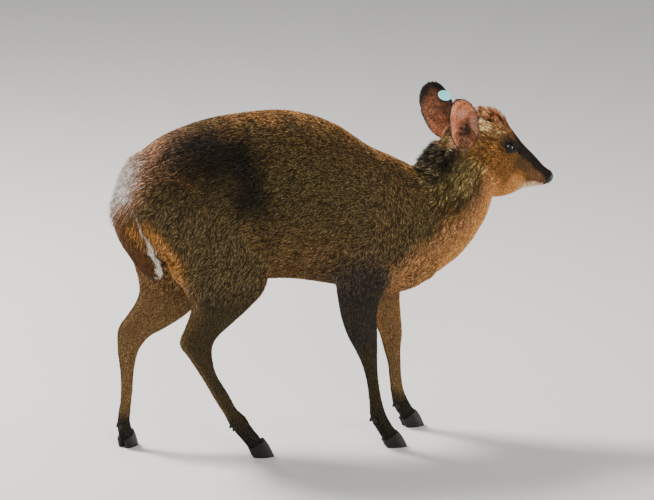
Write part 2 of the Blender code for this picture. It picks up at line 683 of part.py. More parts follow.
def build_body(parts, cutters):
    """Trunk, neck and legs as one skin, parted with thin cuts."""
    lofts = [
        loft_mesh(TRUNK),
        loft_mesh(NECK),
        loft_mesh(skull_sections()),
        loft_mesh(FORELEG_RIGHT, RIGHT),
        loft_mesh(FORELEG_LEFT, LEFT),
        loft_mesh(HIND_LEG_RIGHT, RIGHT),
        loft_mesh(HIND_LEG_LEFT, LEFT),
    ]
    body = joined("body", lofts, parts)
    flesh(body, BODY_VOXEL, BODY_TRIANGLES, 10, softness_of_body)
    point, normal = HEAD_CUT
    wide = (WIDE_CUT, WIDE_CUT)
    block("head_space", point - normal.normalized() * GAP / 2, normal, wide, WIDE_CUT, cutters)
    for point, normal in (TRUNK_CUT, NECK_CUT):
        block("plate", point, normal, wide, GAP, cutters)
    for point, normal, size in LEG_CUTS:
        block("leg_plate", point, normal, (size[1], size[0]), GAP, cutters)
    for foot, (sole_x, y, ankle_x, ankle_z, degrees) in FEET.items():
        coronet = Vector((ankle_x, y, ankle_z))
        away = Vector((math.sin(CORONET_SLOPE), 0.0, -math.cos(CORONET_SLOPE)))
        foot_space = block("foot_space", coronet, away, FOOT_SPACE, FOOT_SPACE[0], cutters)
        foot_space.data.transform(toe_turn(foot))
    joined("tail_space", [tail_mesh(GAP)], cutters)
    grow_locks(TAIL, TAIL_LOCKS, tail_lie, cutters, GAP)
    boolean(body, "DIFFERENCE", cutters)
    return name_pieces(loose_pieces(body, parts), BODY_NODES)


def eye_frame(side):
    """The eye's middle, and its directions out, forward and up."""
    middle = head_point(EYE_U, EYE_V, side * EYE_Y)
    out = (HEAD_U * EYE_OUT[0] + HEAD_V * EYE_OUT[1] + Vector((0.0, side, 0.0))).normalized()
    forward = HEAD_U * EYE_FORWARD[0] + HEAD_V * EYE_FORWARD[1]
    forward = (forward - out * forward.dot(out)).normalized()
    up = out.cross(forward) * -side
    return middle, out, forward, up


def ball(name, middle, radius, group, segments=18, rings=10):
    """A sphere with its poles to the sides."""
    bpy.ops.mesh.primitive_uv_sphere_add(segments=segments, ring_count=rings, radius=radius)
    made = bpy.context.active_object
    made.name = name
    made.data.transform(Matrix.Translation(middle) @ Matrix.Rotation(math.pi / 2, 4, "X"))
    move_to(made, group)
    return made


def prism(name, outline, middle, out, forward, up, depth, group):
    """A flat outline, given along forward and up, drawn out along a direction."""
    base = [middle + forward * a + up * b for a, b in outline]
    count = len(base)
    vertices = base + [point + out * depth for point in base]
    faces = [tuple(range(count)), tuple(range(count, 2 * count))]
    for k in range(count):
        following = (k + 1) % count
        faces.append((k, following, following + count, k + count))
    return mesh_object(name, vertices, faces, group)


def almond(length, height, points=14):
    """An eye-shaped outline: two arcs that meet at the corners."""
    outline = []
    for k in range(points):
        turn = 2 * math.pi * k / points
        rise = math.sin(turn)
        share = rise * abs(rise) ** LID_CORNER_POWER
        outline.append((length / 2 * math.cos(turn), height / 2 * share))
    return outline


def softness_of_head(point):
    """Less smoothing towards the nose and lips."""
    u = (point - HEAD_CENTRE).dot(HEAD_U)
    return min(1.0, max(0.35, (0.07 - u) / 0.05))


def ear_frame(side):
    """The ear's axis, its width from back to front, and the way that it opens."""
    axis = Vector((EAR_AXIS.x, side * EAR_AXIS.y, EAR_AXIS.z)) * EAR_REACH[side]
    along = axis.normalized()
    opening = Vector((EAR_OPENING.x, side * EAR_OPENING.y, EAR_OPENING.z))
    opening = (opening - along * opening.dot(along)).normalized()
    front = along.cross(opening) * -side
    return axis, front, opening


def ear_place(side, along, across, grow=0.0):
    """A place on the middle of the ear's wall.

    Across the ear the wall is an arc: a sine of its angle to the front and one less a
    cosine towards the opening, with the arc's length and angle set by the place along.
    """
    axis, front, opening = ear_frame(side)
    rows = np.array(EAR_SHAPE)
    half_arc = np.interp(along, rows[:, 0], rows[:, 1]) + grow
    half_angle = np.interp(along, rows[:, 0], rows[:, 2])
    radius = half_arc / half_angle
    root = Vector((EAR_ROOT.x, side * EAR_ROOT.y, EAR_ROOT.z))
    root_radius = EAR_SHAPE[1][1] / EAR_SHAPE[1][2]
    turn = half_angle * across
    rise = radius * (1 - math.cos(turn)) - root_radius
    return root + axis * along + front * (radius * math.sin(turn)) + opening * rise


def ear_shell(name, side, group, grow=0.0):
    """One ear as a cupped leaf with a wall of even thickness."""
    axis = ear_frame(side)[0]
    rows = np.array(EAR_SHAPE)
    first = rows[0, 0]
    knots = np.linspace(0, len(rows) - 1, EAR_ROWS)
    places = np.interp(knots, np.arange(len(rows)), rows[:, 0])
    places[0] = first - grow / EAR_AXIS.length
    vertices = []
    for along in places:
        below = axis * min(0.0, along - first)
        for across in np.linspace(-1.0, 1.0, EAR_COLUMNS):
            vertices.append(ear_place(side, max(along, first), across, grow) + below)
    faces = []
    for row in range(EAR_ROWS - 1):
        for k in range(EAR_COLUMNS - 1):
            a = row * EAR_COLUMNS + k
            b = a + EAR_COLUMNS
            faces += [(a, a + 1, b + 1), (a, b + 1, b)]
    mesh = bpy.data.meshes.new(name)
    mesh.from_pydata([tuple(v) for v in vertices], [], faces)
    ear = bpy.data.objects.new(name, mesh)
    group.objects.link(ear)
    wall = ear.modifiers.new("wall", "SOLIDIFY")
    wall.thickness = EAR_THICKNESS + 2 * grow
    wall.offset = 0.0
    bake(ear)
    face_out(ear.data)
    return ear


def tag_frame():
    """The tag's middle on the wall of the left ear, and the way out of its back."""
    middle = ear_place(LEFT, TAG_ALONG, TAG_ACROSS)
    along = ear_place(LEFT, TAG_ALONG + 0.02, TAG_ACROSS) - middle
    across = ear_place(LEFT, TAG_ALONG, TAG_ACROSS + 0.02) - middle
    out = along.cross(across).normalized()
    if out.dot(ear_frame(LEFT)[2]) > 0:
        out = -out
    return middle, out


def build_ears(parts, cutters):
    """Both ears, the left one pierced for its tag, and the tag."""
    made = {}
    for side, word in ((LEFT, "left"), (RIGHT, "right")):
        made[f"ear_{word}"] = ear_shell(f"ear_{word}", side, parts)
    middle, out = tag_frame()
    rod("pin_space", middle - out * REACH, middle + out * REACH, TAG_PIN_RADIUS + GAP, cutters)
    boolean(made["ear_left"], "DIFFERENCE", cutters)
    near, far = TAG_CLEARANCE
    profile = (
        (0.0, near + TAG_THICKNESS),
        (TAG_RADIUS - TAG_BEVEL, near + TAG_THICKNESS),
        (TAG_RADIUS, near + TAG_THICKNESS - TAG_BEVEL),
        (TAG_RADIUS, near),
        (TAG_PIN_RADIUS, near),
        (TAG_PIN_RADIUS, -far),
        (TAG_BACK_RADIUS, -far),
        (TAG_BACK_RADIUS, -far - TAG_THICKNESS),
        (0.0, -far - TAG_THICKNESS),
    )
    made["ear_tag"] = turned("ear_tag", profile, middle, out, parts)
    return made


def rod(name, start, end, radius, group, sides=16):
    """A cylinder between two points."""
    bpy.ops.mesh.primitive_cylinder_add(vertices=sides, radius=radius, depth=(end - start).length)
    made = bpy.context.active_object
    made.name = name
    turn = facing(end - start, Vector((1.0, 0.0, 0.0)))
    made.data.transform(Matrix.Translation((start + end) / 2) @ turn)
    move_to(made, group)
    return made


def turned(name, profile, middle, axis, group, steps=16):
    """A profile of (radius, height) turned about an axis."""
    mesh = bpy.data.meshes.new(name)
    points = [(radius, 0.0, height) for radius, height in profile]
    mesh.from_pydata(points, [(k, k + 1) for k in range(len(points) - 1)], [])
    made = bpy.data.objects.new(name, mesh)
    group.objects.link(made)
    screw = made.modifiers.new("turn", "SCREW")
    screw.axis = "Z"
    screw.steps = screw.render_steps = steps
    screw.use_merge_vertices = True
    screw.merge_threshold = 0.00001
    bake(made)
    made.data.transform(Matrix.Translation(middle) @ facing(axis, Vector((1.0, 0.0, 0.0))))
    return made


def mouth_plate(group):
    """The slit between the lips, from the corner out past the front."""
    corner = head_point(*MOUTH_CORNER)
    front = head_point(*MOUTH_FRONT)
    line = (front - corner).normalized()
    up = line.cross(Vector((0.0, -1.0, 0.0))).normalized()
    length = (front - corner).length + MOUTH_OVERRUN
    middle = corner + line * length / 2
    return block("mouth", middle - up * MOUTH_GAP / 2, up, (length, WIDE_CUT), MOUTH_GAP, group)


def build_head(parts, cutters):
    """The head in front of the neck cut, with lids, mouth, nostrils and glands."""
    shapes = [loft_mesh(NECK), loft_mesh(skull_sections(), step=0.004)]
    for side in (LEFT, RIGHT):
        lid = ball("lid", eye_frame(side)[0], EYE_RADIUS + LID_THICKNESS, parts, 32, 20)
        shapes.append(mesh_of(lid))
    head = joined("head", shapes, parts)
    flesh(head, HEAD_VOXEL, HEAD_TRIANGLES, 4, softness_of_head)
    grow_locks(NECK, NAPE_LOCKS, nape_lie, cutters)
    grow_locks(skull_sections(), CROWN_LOCKS, crown_lie, cutters)
    boolean(head, "UNION", cutters)
    point, normal = HEAD_CUT
    wide = (WIDE_CUT, WIDE_CUT)
    block("neck_space", point + normal.normalized() * GAP / 2, -normal, wide, WIDE_CUT, cutters)
    nose_normal = HEAD_U * NOSE_NORMAL[0] + HEAD_V * NOSE_NORMAL[1]
    block("nose_plate", head_point(*NOSE_CUT), nose_normal, NOSE_PLATE, GAP, cutters)
    mouth_plate(cutters)
    for side in (LEFT, RIGHT):
        middle, out, forward, up = eye_frame(side)
        ball("socket", middle, EYE_RADIUS + GAP, cutters, 24, 16)
        outline = almond(LID_OPENING_LENGTH, LID_OPENING_HEIGHT)
        inside = middle + out * EYE_RADIUS / 2
        prism("lid_opening", outline, inside, out, forward, up, REACH, cutters)
        gland = head_point(*GLAND, side * GLAND_SIDE)
        slit = almond(GLAND_LENGTH, GLAND_HEIGHT, 8)
        slant = HEAD_U * GLAND_LIE[0] + HEAD_V * GLAND_LIE[1]
        outward = Vector((0.0, side, 0.0))
        prism("gland", slit, gland, outward, slant, outward.cross(slant) * -side, REACH, cutters)
        u, v, y = NOSTRIL
        opening = head_point(u, v, side * y)
        nostril_out = HEAD_U * NOSTRIL_OUT[0] + outward * NOSTRIL_OUT[1]
        deep = opening - nostril_out * NOSTRIL_DEPTH
        rod("nostril", deep, opening + nostril_out * REACH, NOSTRIL_RADIUS, cutters, 10)
        ear_shell("ear_space", side, cutters, GAP)
    boolean(head, "DIFFERENCE", cutters)
    probes = {"head": (0.33, 0.0, 0.47), "nose": tuple(head_point(0.094, -0.004))}
    return name_pieces(loose_pieces(head, parts), probes)


def build_eyes(parts):
    """The two eyeballs."""
    made = {}
    for side, word in ((LEFT, "left"), (RIGHT, "right")):
        middle = eye_frame(side)[0]
        made[f"eye_{word}"] = ball(f"eye_{word}", middle, EYE_RADIUS, parts)
    return made


def claw_ring(middle_x, y, length, width, spread, height):
    """One level of a claw: an oval, narrower and drawn inwards at the toe.

    Height gives each point's z from its x.
    """
    points = []
    for k in range(CLAW_POINTS):
        turn = 2 * math.pi * k / CLAW_POINTS
        ahead = math.cos(turn)
        toe = max(0.0, ahead) ** 2
        x = middle_x + length / 2 * ahead
        across = math.sin(turn) * (1 - CLAW_TOE_NARROW * toe) - CLAW_TOE_INWARD * toe
        outward = CLAW_CLEFT / 2 + width / 2 * (1 + across)
        points.append(Vector((x, y + spread * outward, height(x))))
    return points


def build_claws(parts):
    """Two claws on each foot, flat on the ground and cut to the coronet above."""
    made = {}
    slope = math.tan(CORONET_SLOPE)
    for foot, (sole_x, y, ankle_x, ankle_z, degrees) in FEET.items():
        outer = LEFT if y > 0 else RIGHT

        def coronet(x):
            return ankle_z + (x - ankle_x) * slope - GAP

        def half_height(x):
            return 0.5 * coronet(ankle_x + (x - ankle_x) * CLAW_MIDDLE_SLOPE)

        for spread, word in ((outer, "outer"), (-outer, "inner")):
            middle_x = (sole_x + ankle_x) / 2
            middle_length = CLAW_LENGTH * CLAW_MIDDLE[0]
            middle_width = CLAW_WIDTH * CLAW_MIDDLE[1]
            rings = (
                claw_ring(sole_x, y, CLAW_LENGTH, CLAW_WIDTH, spread, lambda x: 0.0),
                claw_ring(middle_x, y, middle_length, middle_width, spread, half_height),
                claw_ring(ankle_x, y, CLAW_TOP_LENGTH, CLAW_TOP_WIDTH, spread, coronet),
            )
            vertices = [point for ring in rings for point in ring]
            faces = [tuple(range(CLAW_POINTS)), tuple(range(2 * CLAW_POINTS, 3 * CLAW_POINTS))]
            for level in range(2):
                for k in range(CLAW_POINTS):
                    a = level * CLAW_POINTS + k
                    b = level * CLAW_POINTS + (k + 1) % CLAW_POINTS
                    faces.append((a, b, b + CLAW_POINTS, a + CLAW_POINTS))
            name = f"claw_{foot}_{word}"
            made[name] = mesh_object(name, vertices, faces, parts)
            made[name].data.transform(toe_turn(foot))
    return made


def add_dewclaws(nodes, cutters):
    """A pair of small horn cones behind each fetlock, fused to the leg."""
    for foot, (x, z) in DEWCLAWS.items():
        y = FEET[foot][1]
        for spread in (LEFT, RIGHT):
            root = Vector((x, y + spread * DEWCLAW_SPREAD, z))
            back, aside, down = DEWCLAW_LIE
            lie = Vector((back, spread * aside, down)).normalized()
            tip = DEWCLAW_RADIUS * DEWCLAW_TIP
            bpy.ops.mesh.primitive_cone_add(
                vertices=6, radius1=DEWCLAW_RADIUS, radius2=tip, depth=DEWCLAW_LENGTH
            )
            cone = bpy.context.active_object
            cone.data.transform(Matrix.Translation(root + lie * DEWCLAW_LENGTH / 2) @ facing(lie))
            move_to(cone, cutters)
        leg, side = foot.split("_")
        boolean(nodes[f"{leg}_cannon_{side}"], "UNION", cutters)


def build_tail(parts, cutters):
    """The tail, over the buttocks, with a fringe along its inner edge."""
    tail = joined("tail", [tail_mesh()], parts)
    grow_locks(TAIL, TAIL_LOCKS, tail_lie, cutters)
    boolean(tail, "UNION", cutters)
    return name_pieces(loose_pieces(tail, parts), {"tail": TAIL_MIDDLE})


def colour_of(name):
    """The finish of a node from its name."""
    if name.startswith("eye"):
        return EYE_BLACK
    if name == "ear_tag":
        return TAG_BLUE
    if name.startswith("ear"):
        return EAR_SKIN
    if name == "nose":
        return NOSE_BLACK
    if name.startswith("claw"):
        return HORN_GREY
    if name == "tail":
        return COAT_TAIL
    if "cannon" in name or "forearm" in name:
        return COAT_DARK
    return COAT_BROWN


def stand_on_origin(nodes):
    """Hang every node on an empty that brings the middle of the underside to the origin."""
    points = np.array([v.co for node in nodes.values() for v in node.data.vertices])
    low = points.min(axis=0)
    high = points.max(axis=0)
    ground = bpy.data.objects.new("ground_point", None)
    bpy.context.scene.collection.objects.link(ground)
    ground.location = (-(low[0] + high[0]) / 2, -(low[1] + high[1]) / 2, -low[2])
    for node in nodes.values():
        node.parent = ground


def main():
    for old in list(bpy.data.objects):
        bpy.data.objects.remove(old)
    parts = collection(NAME)
    cutters = collection("cutters")
    nodes = {}
    nodes.update(build_body(parts, cutters))
    nodes.update(build_head(parts, cutters))
    nodes.update(build_eyes(parts))
    nodes.update(build_ears(parts, cutters))
    nodes.update(build_tail(parts, cutters))
    nodes.update(build_claws(parts))
    add_dewclaws(nodes, cutters)
    for name, node in nodes.items():
        finish(node, colour_of(name))
    stand_on_origin(nodes)


main()
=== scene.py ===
# %% [markdown]
# # Dressing a muntjac doe
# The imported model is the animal's true outline in plain solids. This lesson lays one
# skin just inside them, grows a short coat of mesh tufts on it, and finishes the eyes,
# ears, nose and claws. The solids stay as the measure: every piece is placed from the
# same named sizes as they are, so nothing has to be fitted by eye.

# %% Load the frame
import math

import bmesh
import bpy
import numpy as np
from mathutils import Matrix, Vector


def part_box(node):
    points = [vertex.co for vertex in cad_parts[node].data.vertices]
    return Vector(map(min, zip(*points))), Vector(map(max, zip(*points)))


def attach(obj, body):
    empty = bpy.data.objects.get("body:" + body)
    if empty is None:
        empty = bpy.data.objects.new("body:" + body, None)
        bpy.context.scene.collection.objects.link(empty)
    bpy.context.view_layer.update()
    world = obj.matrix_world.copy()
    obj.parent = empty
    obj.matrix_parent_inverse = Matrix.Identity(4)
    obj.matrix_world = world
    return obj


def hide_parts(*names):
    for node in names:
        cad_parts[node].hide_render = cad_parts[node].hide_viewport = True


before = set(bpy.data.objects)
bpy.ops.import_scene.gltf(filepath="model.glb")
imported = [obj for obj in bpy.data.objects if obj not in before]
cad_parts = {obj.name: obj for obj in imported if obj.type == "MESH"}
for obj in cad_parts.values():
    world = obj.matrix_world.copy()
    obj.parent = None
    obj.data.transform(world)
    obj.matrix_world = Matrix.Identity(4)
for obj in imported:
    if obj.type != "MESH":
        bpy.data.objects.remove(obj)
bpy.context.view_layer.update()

NODES = sorted(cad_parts)

# %% [markdown]
# ## The animal's own measure
# A deer is measured as a taxidermist does it: stations along the spine, the neck and
# each leg, each with an upper and a lower edge, a half width and how far down it is at
# its widest. The head has its own frame, with u running to the nose and v up through
# the forehead, so that its pitch is one number. These are the solids' own numbers, in
# millimetres, with the way down to the widest place in thousandths.

# %% Stations of the trunk, neck and head
TRUNK = np.array((
    (-317, 446, -314, 388, 30, 0, 500), (-303, 489, -297, 354, 53, 0, 500),
    (-268, 523, -266, 336, 71, 0, 500), (-195, 557, -193, 322, 87, 0, 520),
    (-107, 572, -107, 292, 93, 0, 540), (-30, 572, -30, 287, 94, 0, 550),
    (45, 548, 44, 273, 88, 0, 550), (109, 506, 106, 258, 79, 0, 540), (153, 485, 158, 250, 73, 0, 520),
    (190, 461, 203, 263, 64, 0, 500), (220, 420, 232, 288, 48, 0, 500),
    (238, 380, 242, 322, 24, 0, 500),
)) / 1000
NECK = np.array((
    (150, 458, 200, 266, 60, 0, 500), (193, 458, 238, 285, 59, 0, 500),
    (209, 474, 271, 308, 55, 0, 480), (223, 492, 298, 339, 50, 0, 460),
    (237, 507, 318, 373, 46, 0, 450), (252, 518, 328, 402, 42, 0, 450),
    (270, 524, 336, 422, 37, 0, 450),
)) / 1000
SKULL = np.array((
    (-98, 4, -55, 28, 450), (-80, 26, -74, 35, 420), (-55, 39.5, -84, 37.5, 340),
    (-28, 38.5, -88, 38, 300), (-6, 31.5, -88, 35.5, 280), (12, 24.5, -84.5, 30.5, 280),
    (28, 20, -79, 26.2, 320), (44, 16.5, -66, 22.5, 380), (60, 12, -46, 20, 450),
    (75, 7.5, -33.5, 18.5, 500), (87, 6, -25.5, 16.5, 520), (93.5, 4, -18.5, 14, 520),
    (97.5, 0.5, -15, 10.5, 500), (99, -4.5, -10, 4.5, 500),
)) / 1000
HEAD_CENTRE = np.array((0.352, 0.0, 0.486))
HEAD_PITCH = math.radians(-30.0)
HEAD_U = np.array((math.cos(HEAD_PITCH), 0.0, math.sin(HEAD_PITCH)))
HEAD_V = np.array((-math.sin(HEAD_PITCH), 0.0, math.cos(HEAD_PITCH)))
SIDEWAYS = np.array((0.0, 1.0, 0.0))


def head_point(u, v, y=0.0):
    """Places in the head's own frame, in the animal's."""
    u, v, y = np.broadcast_arrays(u, v, y)
    return HEAD_CENTRE + u[..., None] * HEAD_U + v[..., None] * HEAD_V + y[..., None] * SIDEWAYS


def head_uvy(points):
    """The head's own coordinates of places in the animal's frame."""
    away = points - HEAD_CENTRE
    return away @ HEAD_U, away @ HEAD_V, points[..., 1]


upper, lower = head_point(SKULL[:, 0], SKULL[:, 1]), head_point(SKULL[:, 0], SKULL[:, 2])
SKULL_ROWS = np.column_stack(
    (upper[:, ::2], lower[:, ::2], SKULL[:, 3], np.zeros(len(SKULL)), SKULL[:, 4])
)
print("trunk", TRUNK[0, 0], "to", TRUNK[-1, 0], "m, nose at", np.round(head_point(0.099, 0.0), 3))

# %% [markdown]
# ## Legs and tail
# Each leg is listed by its front and back edge from the body down to the pastern, the
# end of the leg just above the hoof. The near hind leg stands forward and the far one
# back, as in a slow walk, so all four lists differ. The tail is carried further in than
# its solid, so that it lies on the buttock like a flap.

# %% Stations of the legs and tail
def leg_rows(rows):
    """A leg's stations in metres; its sections are widest half way down."""
    return np.column_stack((np.array(rows) / 1000, np.full(len(rows), 0.5)))


FORELEG_RIGHT = leg_rows((
    (158, 450, 90, 462, 8, -46), (200, 400, 60, 405, 29, -50), (200, 345, 40, 345, 32, -54),
    (157, 305, 33, 308, 29, -55), (123, 273, 36, 276, 26, -55), (111, 236, 45, 234, 22.5, -54),
    (112.5, 196, 59, 196, 18.5, -53), (113.5, 166, 76, 166, 15.5, -52), (114.5, 146, 87, 144, 13, -51),
    (116.5, 123, 94.5, 120, 10.5, -51), (124, 83, 101.5, 80, 10.5, -51), (132, 59, 106, 49, 13, -50),
    (141, 42, 117.5, 29, 12, -50), (152, 26, 129.5, 11, 12, -50), (155.5, 20, 133.5, 5, 10.5, -50),
))
FORELEG_LEFT = leg_rows((
    (163, 450, 95, 462, 8, 46), (208, 400, 70, 405, 29, 50), (220, 345, 66, 345, 32, 54),
    (210, 305, 80, 305, 29, 55), (196, 265, 105, 270, 26, 55), (192, 228, 126, 226, 22.5, 55),
    (194.5, 196, 142.5, 194, 19, 54), (197, 165, 157, 161, 16, 53), (195, 142, 164.5, 136, 13.5, 52),
    (195.5, 119, 171.5, 114, 11, 52), (198, 89, 176, 83, 10.2, 52), (202.5, 66, 180, 58, 10.8, 52),
    (209.5, 50, 185, 38, 12.8, 52), (220, 32, 198, 17, 11.8, 52), (226, 22, 205, 6, 10.5, 52),
))
HIND_LEG_RIGHT = leg_rows((
    (-150, 490, -265, 490, 8, -44), (-105, 440, -312, 432, 37, -46), (-86, 385, -306, 395, 40, -51),
    (-78, 335, -287, 368, 40, -55), (-83, 289, -267, 347, 37, -56), (-109, 259, -249, 321, 33, -56),
    (-135, 236, -226, 295, 27, -55), (-160, 215, -213, 264, 21.5, -54),
    (-171, 199, -222, 231, 17.5, -53), (-173, 183, -231, 205, 15, -52),
    (-170, 163, -214, 177, 13.5, -52), (-164, 146, -192, 143, 12, -51),
    (-143, 112, -165.5, 98, 10.8, -50), (-127.5, 85, -149.5, 73, 10.8, -49),
    (-113, 71, -139.5, 55, 13, -48), (-100.5, 51, -123, 35, 12, -47), (-87, 34, -109, 18, 12, -46),
    (-80, 25, -102, 9, 10.5, -46),
))
HIND_LEG_LEFT = leg_rows((
    (-150, 490, -265, 490, 8, 44), (-108, 440, -314, 432, 37, 46), (-96, 385, -310, 395, 40, 51),
    (-98, 335, -298, 365, 40, 56), (-117, 292, -285, 332, 37, 58), (-147, 256, -272, 300, 32, 60),
    (-180, 222, -266, 272, 26, 60), (-216, 200, -271, 250, 21, 60), (-245, 186, -284, 229, 17.5, 60),
    (-260, 170, -300, 206, 15, 60), (-268.5, 148, -301.5, 168, 13, 60),
    (-271.5, 128, -297, 133, 11.3, 60), (-274.5, 83, -295.5, 83, 10.2, 60),
    (-277, 60, -299, 55, 11.2, 60), (-277.5, 46, -300, 37, 12.6, 61), (-273, 30, -295.5, 16, 11.8, 62),
    (-269, 20, -291.5, 5, 10.5, 63),
))
TAIL = np.array((
    (-318, 458, -286, 448, 14, 0, 500), (-329, 430, -286, 414, 26, 0, 520),
    (-329, 398, -280, 386, 34, 0, 550), (-320, 370, -267, 360, 37, 0, 580),
    (-304, 343, -252, 336, 36, 0, 600), (-286, 317, -243, 317, 28, 0, 600),
    (-267, 299, -243, 301, 12, 0, 550),
)) / 1000
PARTS = {
    "trunk": TRUNK, "neck": NECK, "skull": SKULL_ROWS,
    "foreleg_right": FORELEG_RIGHT, "foreleg_left": FORELEG_LEFT,
    "hind_leg_right": HIND_LEG_RIGHT, "hind_leg_left": HIND_LEG_LEFT, "tail": TAIL,
}
PART_NAMES = list(PARTS)


def parts_of(shares):
    """The parts' shares by name, and those of both forelegs and of both hind legs."""
    part = dict(zip(PART_NAMES, shares.T))
    part["fore"] = part["foreleg_right"] + part["foreleg_left"]
    part["hind"] = part["hind_leg_right"] + part["hind_leg_left"]
    return part


print({name: len(rows) for name, rows in PARTS.items()})

# %% [markdown]
# ## Eyes, and where the animal stands
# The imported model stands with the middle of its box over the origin, while the stations
# are measured from a point under the trunk. One eye is enough to find the step between
# the two: its node's box has the eye's middle at its centre.

# %% The step from the animal's frame to the model's
EYE_U, EYE_V, EYE_Y = -0.0145, 0.0035, 0.0290
EYE_RADIUS = 0.0125
EYE_OUT, EYE_FORWARD = (0.14, 0.12), (0.93, -0.12)
LEFT, RIGHT = 1.0, -1.0
SIDES = {"left": LEFT, "right": RIGHT}


def flip(side):
    """What turns a place on the left side into one on this side."""
    return np.array((1.0, side, 1.0))


def unit(vectors):
    """Vectors made one long."""
    return vectors / np.maximum(np.linalg.norm(vectors, axis=-1, keepdims=True), 1e-12)


def eye_frame(side):
    """An eye's middle and its directions out, forward and up."""
    middle = head_point(EYE_U, EYE_V, side * EYE_Y)
    out = unit(HEAD_U * EYE_OUT[0] + HEAD_V * EYE_OUT[1] + SIDEWAYS * side)
    forward = HEAD_U * EYE_FORWARD[0] + HEAD_V * EYE_FORWARD[1]
    forward = unit(forward - out * (forward @ out))
    return middle, out, forward, np.cross(out, forward) * -side


low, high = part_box("eye_left")
SHIFT = (np.array(low) + np.array(high)) / 2 - eye_frame(LEFT)[0]
print("step to the model's frame", np.round(SHIFT, 5))

# %% [markdown]
# ## Putting arrays into meshes
# Every new piece is an array of points and an array of triangles. foreach_set copies
# such arrays into Blender in one go, which is what makes a coat of a million triangles
# possible. A closed piece must face outwards: the volume that its triangles enclose,
# summed as corner . (corner x corner) / 6, is positive only then.

# %% Mesh helpers
def outward(points, faces):
    """The triangles, turned round if they enclose a negative volume."""
    a, b, c = (points[faces[:, k]] for k in range(3))
    volume = np.einsum("ij,ij->", a, np.cross(b, c)) / 6
    return faces if volume > 0 else faces[:, ::-1]


def grid_faces(rows, columns, closed=False):
    """Two triangles for each cell of rings of points, and from last to first if closed."""
    index = np.arange(rows * columns).reshape(rows, columns)
    if closed:
        index = np.vstack((index, index[:1]))
    across = np.roll(index, -1, axis=1)
    cells = np.stack((index[:-1], across[:-1], across[1:], index[:-1], across[1:], index[1:]), axis=-1)
    return cells.reshape(-1, 3)


def full_turn(count):
    """Angles evenly round a circle."""
    return np.linspace(0.0, 2 * np.pi, count, endpoint=False)


def capped(points):
    """A tube of rings, shape (rows, columns, 3), closed with a point at either end."""
    rows, columns = points.shape[:2]
    faces = grid_faces(rows, columns)
    ring = np.arange(columns)
    after = np.roll(ring, -1)
    first, last = rows * columns, rows * columns + 1
    start = np.column_stack((np.full(columns, first), after, ring))
    end = (rows - 1) * columns
    stop = np.column_stack((np.full(columns, last), ring + end, after + end))
    ends = np.stack((points[0].mean(axis=0), points[-1].mean(axis=0)))
    return np.vstack((points.reshape(-1, 3), ends)), np.vstack((faces, start, stop))


def ring_round(turn, radius, first, second):
    """Points of rings, by their angle from the first way towards the second."""
    return (radius * np.cos(turn))[..., None] * first + (radius * np.sin(turn))[..., None] * second


def joined(shapes):
    """Several (points, faces) as one."""
    starts = np.cumsum([0] + [len(points) for points, _ in shapes[:-1]])
    faces = [faces + start for (_, faces), start in zip(shapes, starts)]
    return np.vstack([points for points, _ in shapes]), np.vstack(faces)


def make_mesh(name, points, faces):
    """A smooth-shaded object from points and equal-sided faces, in one go."""
    mesh = bpy.data.meshes.new(name)
    mesh.vertices.add(len(points))
    mesh.vertices.foreach_set("co", np.ascontiguousarray(points, np.float32).ravel())
    sides = faces.shape[1]
    mesh.loops.add(faces.size)
    mesh.loops.foreach_set("vertex_index", np.ascontiguousarray(faces, np.int32).ravel())
    mesh.polygons.add(len(faces))
    mesh.polygons.foreach_set("loop_start", np.arange(0, faces.size, sides, dtype=np.int32))
    mesh.update(calc_edges=True)
    mesh.shade_smooth()
    made = bpy.data.objects.new(name, mesh)
    bpy.context.scene.collection.objects.link(made)
    return made


def dress(name, points, faces, material, slot, stands_for=(), colours=None, uv=None):
    """A finished piece: moved to the model's frame, coloured, and riding on the root."""
    made = make_mesh(name, points + SHIFT, faces)
    if colours is not None:
        coat = made.data.color_attributes.new(name="coat", type="FLOAT_COLOR", domain="POINT")
        rgba = np.ones((len(points), 4), np.float32)
        rgba[:, :3] = np.clip(colours, 0.0, 1.0)
        coat.data.foreach_set("color", rgba.ravel())
    if uv is not None:
        layer = made.data.uv_layers.new(name="OFBake")
        layer.data.foreach_set("uv", np.ascontiguousarray(uv[faces.ravel()], np.float32).ravel())
    made.data.materials.append(material)
    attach(made, "root")
    if stands_for:
        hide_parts(*stands_for)
    print(name, len(points), "points", len(faces), "triangles")
    return made


# %% [markdown]
# ## Lofts
# A loft carries an egg-shaped section along the stations. Down the section a point lies
# between the upper and lower edge by a cosine, and across it by a sine. A smooth curve
# through the stations gives as many sections as are wanted. The coat's depth is one
# more column, so each part can be drawn in by the length of its own fur.

# %% Sections on a smooth curve
def curve_rows(stations, step):
    """Sections one step apart: cubics whose slopes at a station weigh both sides."""
    middle = (stations[:, 0:2] + stations[:, 2:4]) / 2
    spacing = np.maximum(np.linalg.norm(np.diff(middle, axis=0), axis=1), 0.003)
    knots = np.concatenate(([0.0], np.cumsum(spacing)))
    slope = np.diff(stations, axis=0) / spacing[:, None]
    before, after = spacing[:-1, None], spacing[1:, None]
    inner = (slope[:-1] * after + slope[1:] * before) / (before + after)
    tangent = np.vstack((slope[:1], inner, slope[-1:]))
    at = np.linspace(0.0, knots[-1], int(knots[-1] / step) + 2)
    left = np.clip(np.searchsorted(knots, at, side="right") - 1, 0, len(spacing) - 1)
    width = spacing[left][:, None]
    t = (at - knots[left])[:, None] / width
    start = (1 + 2 * t) * (1 - t) ** 2 * stations[left] + t * (1 - t) ** 2 * width * tangent[left]
    end = t**2 * (3 - 2 * t) * stations[left + 1] + t**2 * (t - 1) * width * tangent[left + 1]
    return start + end


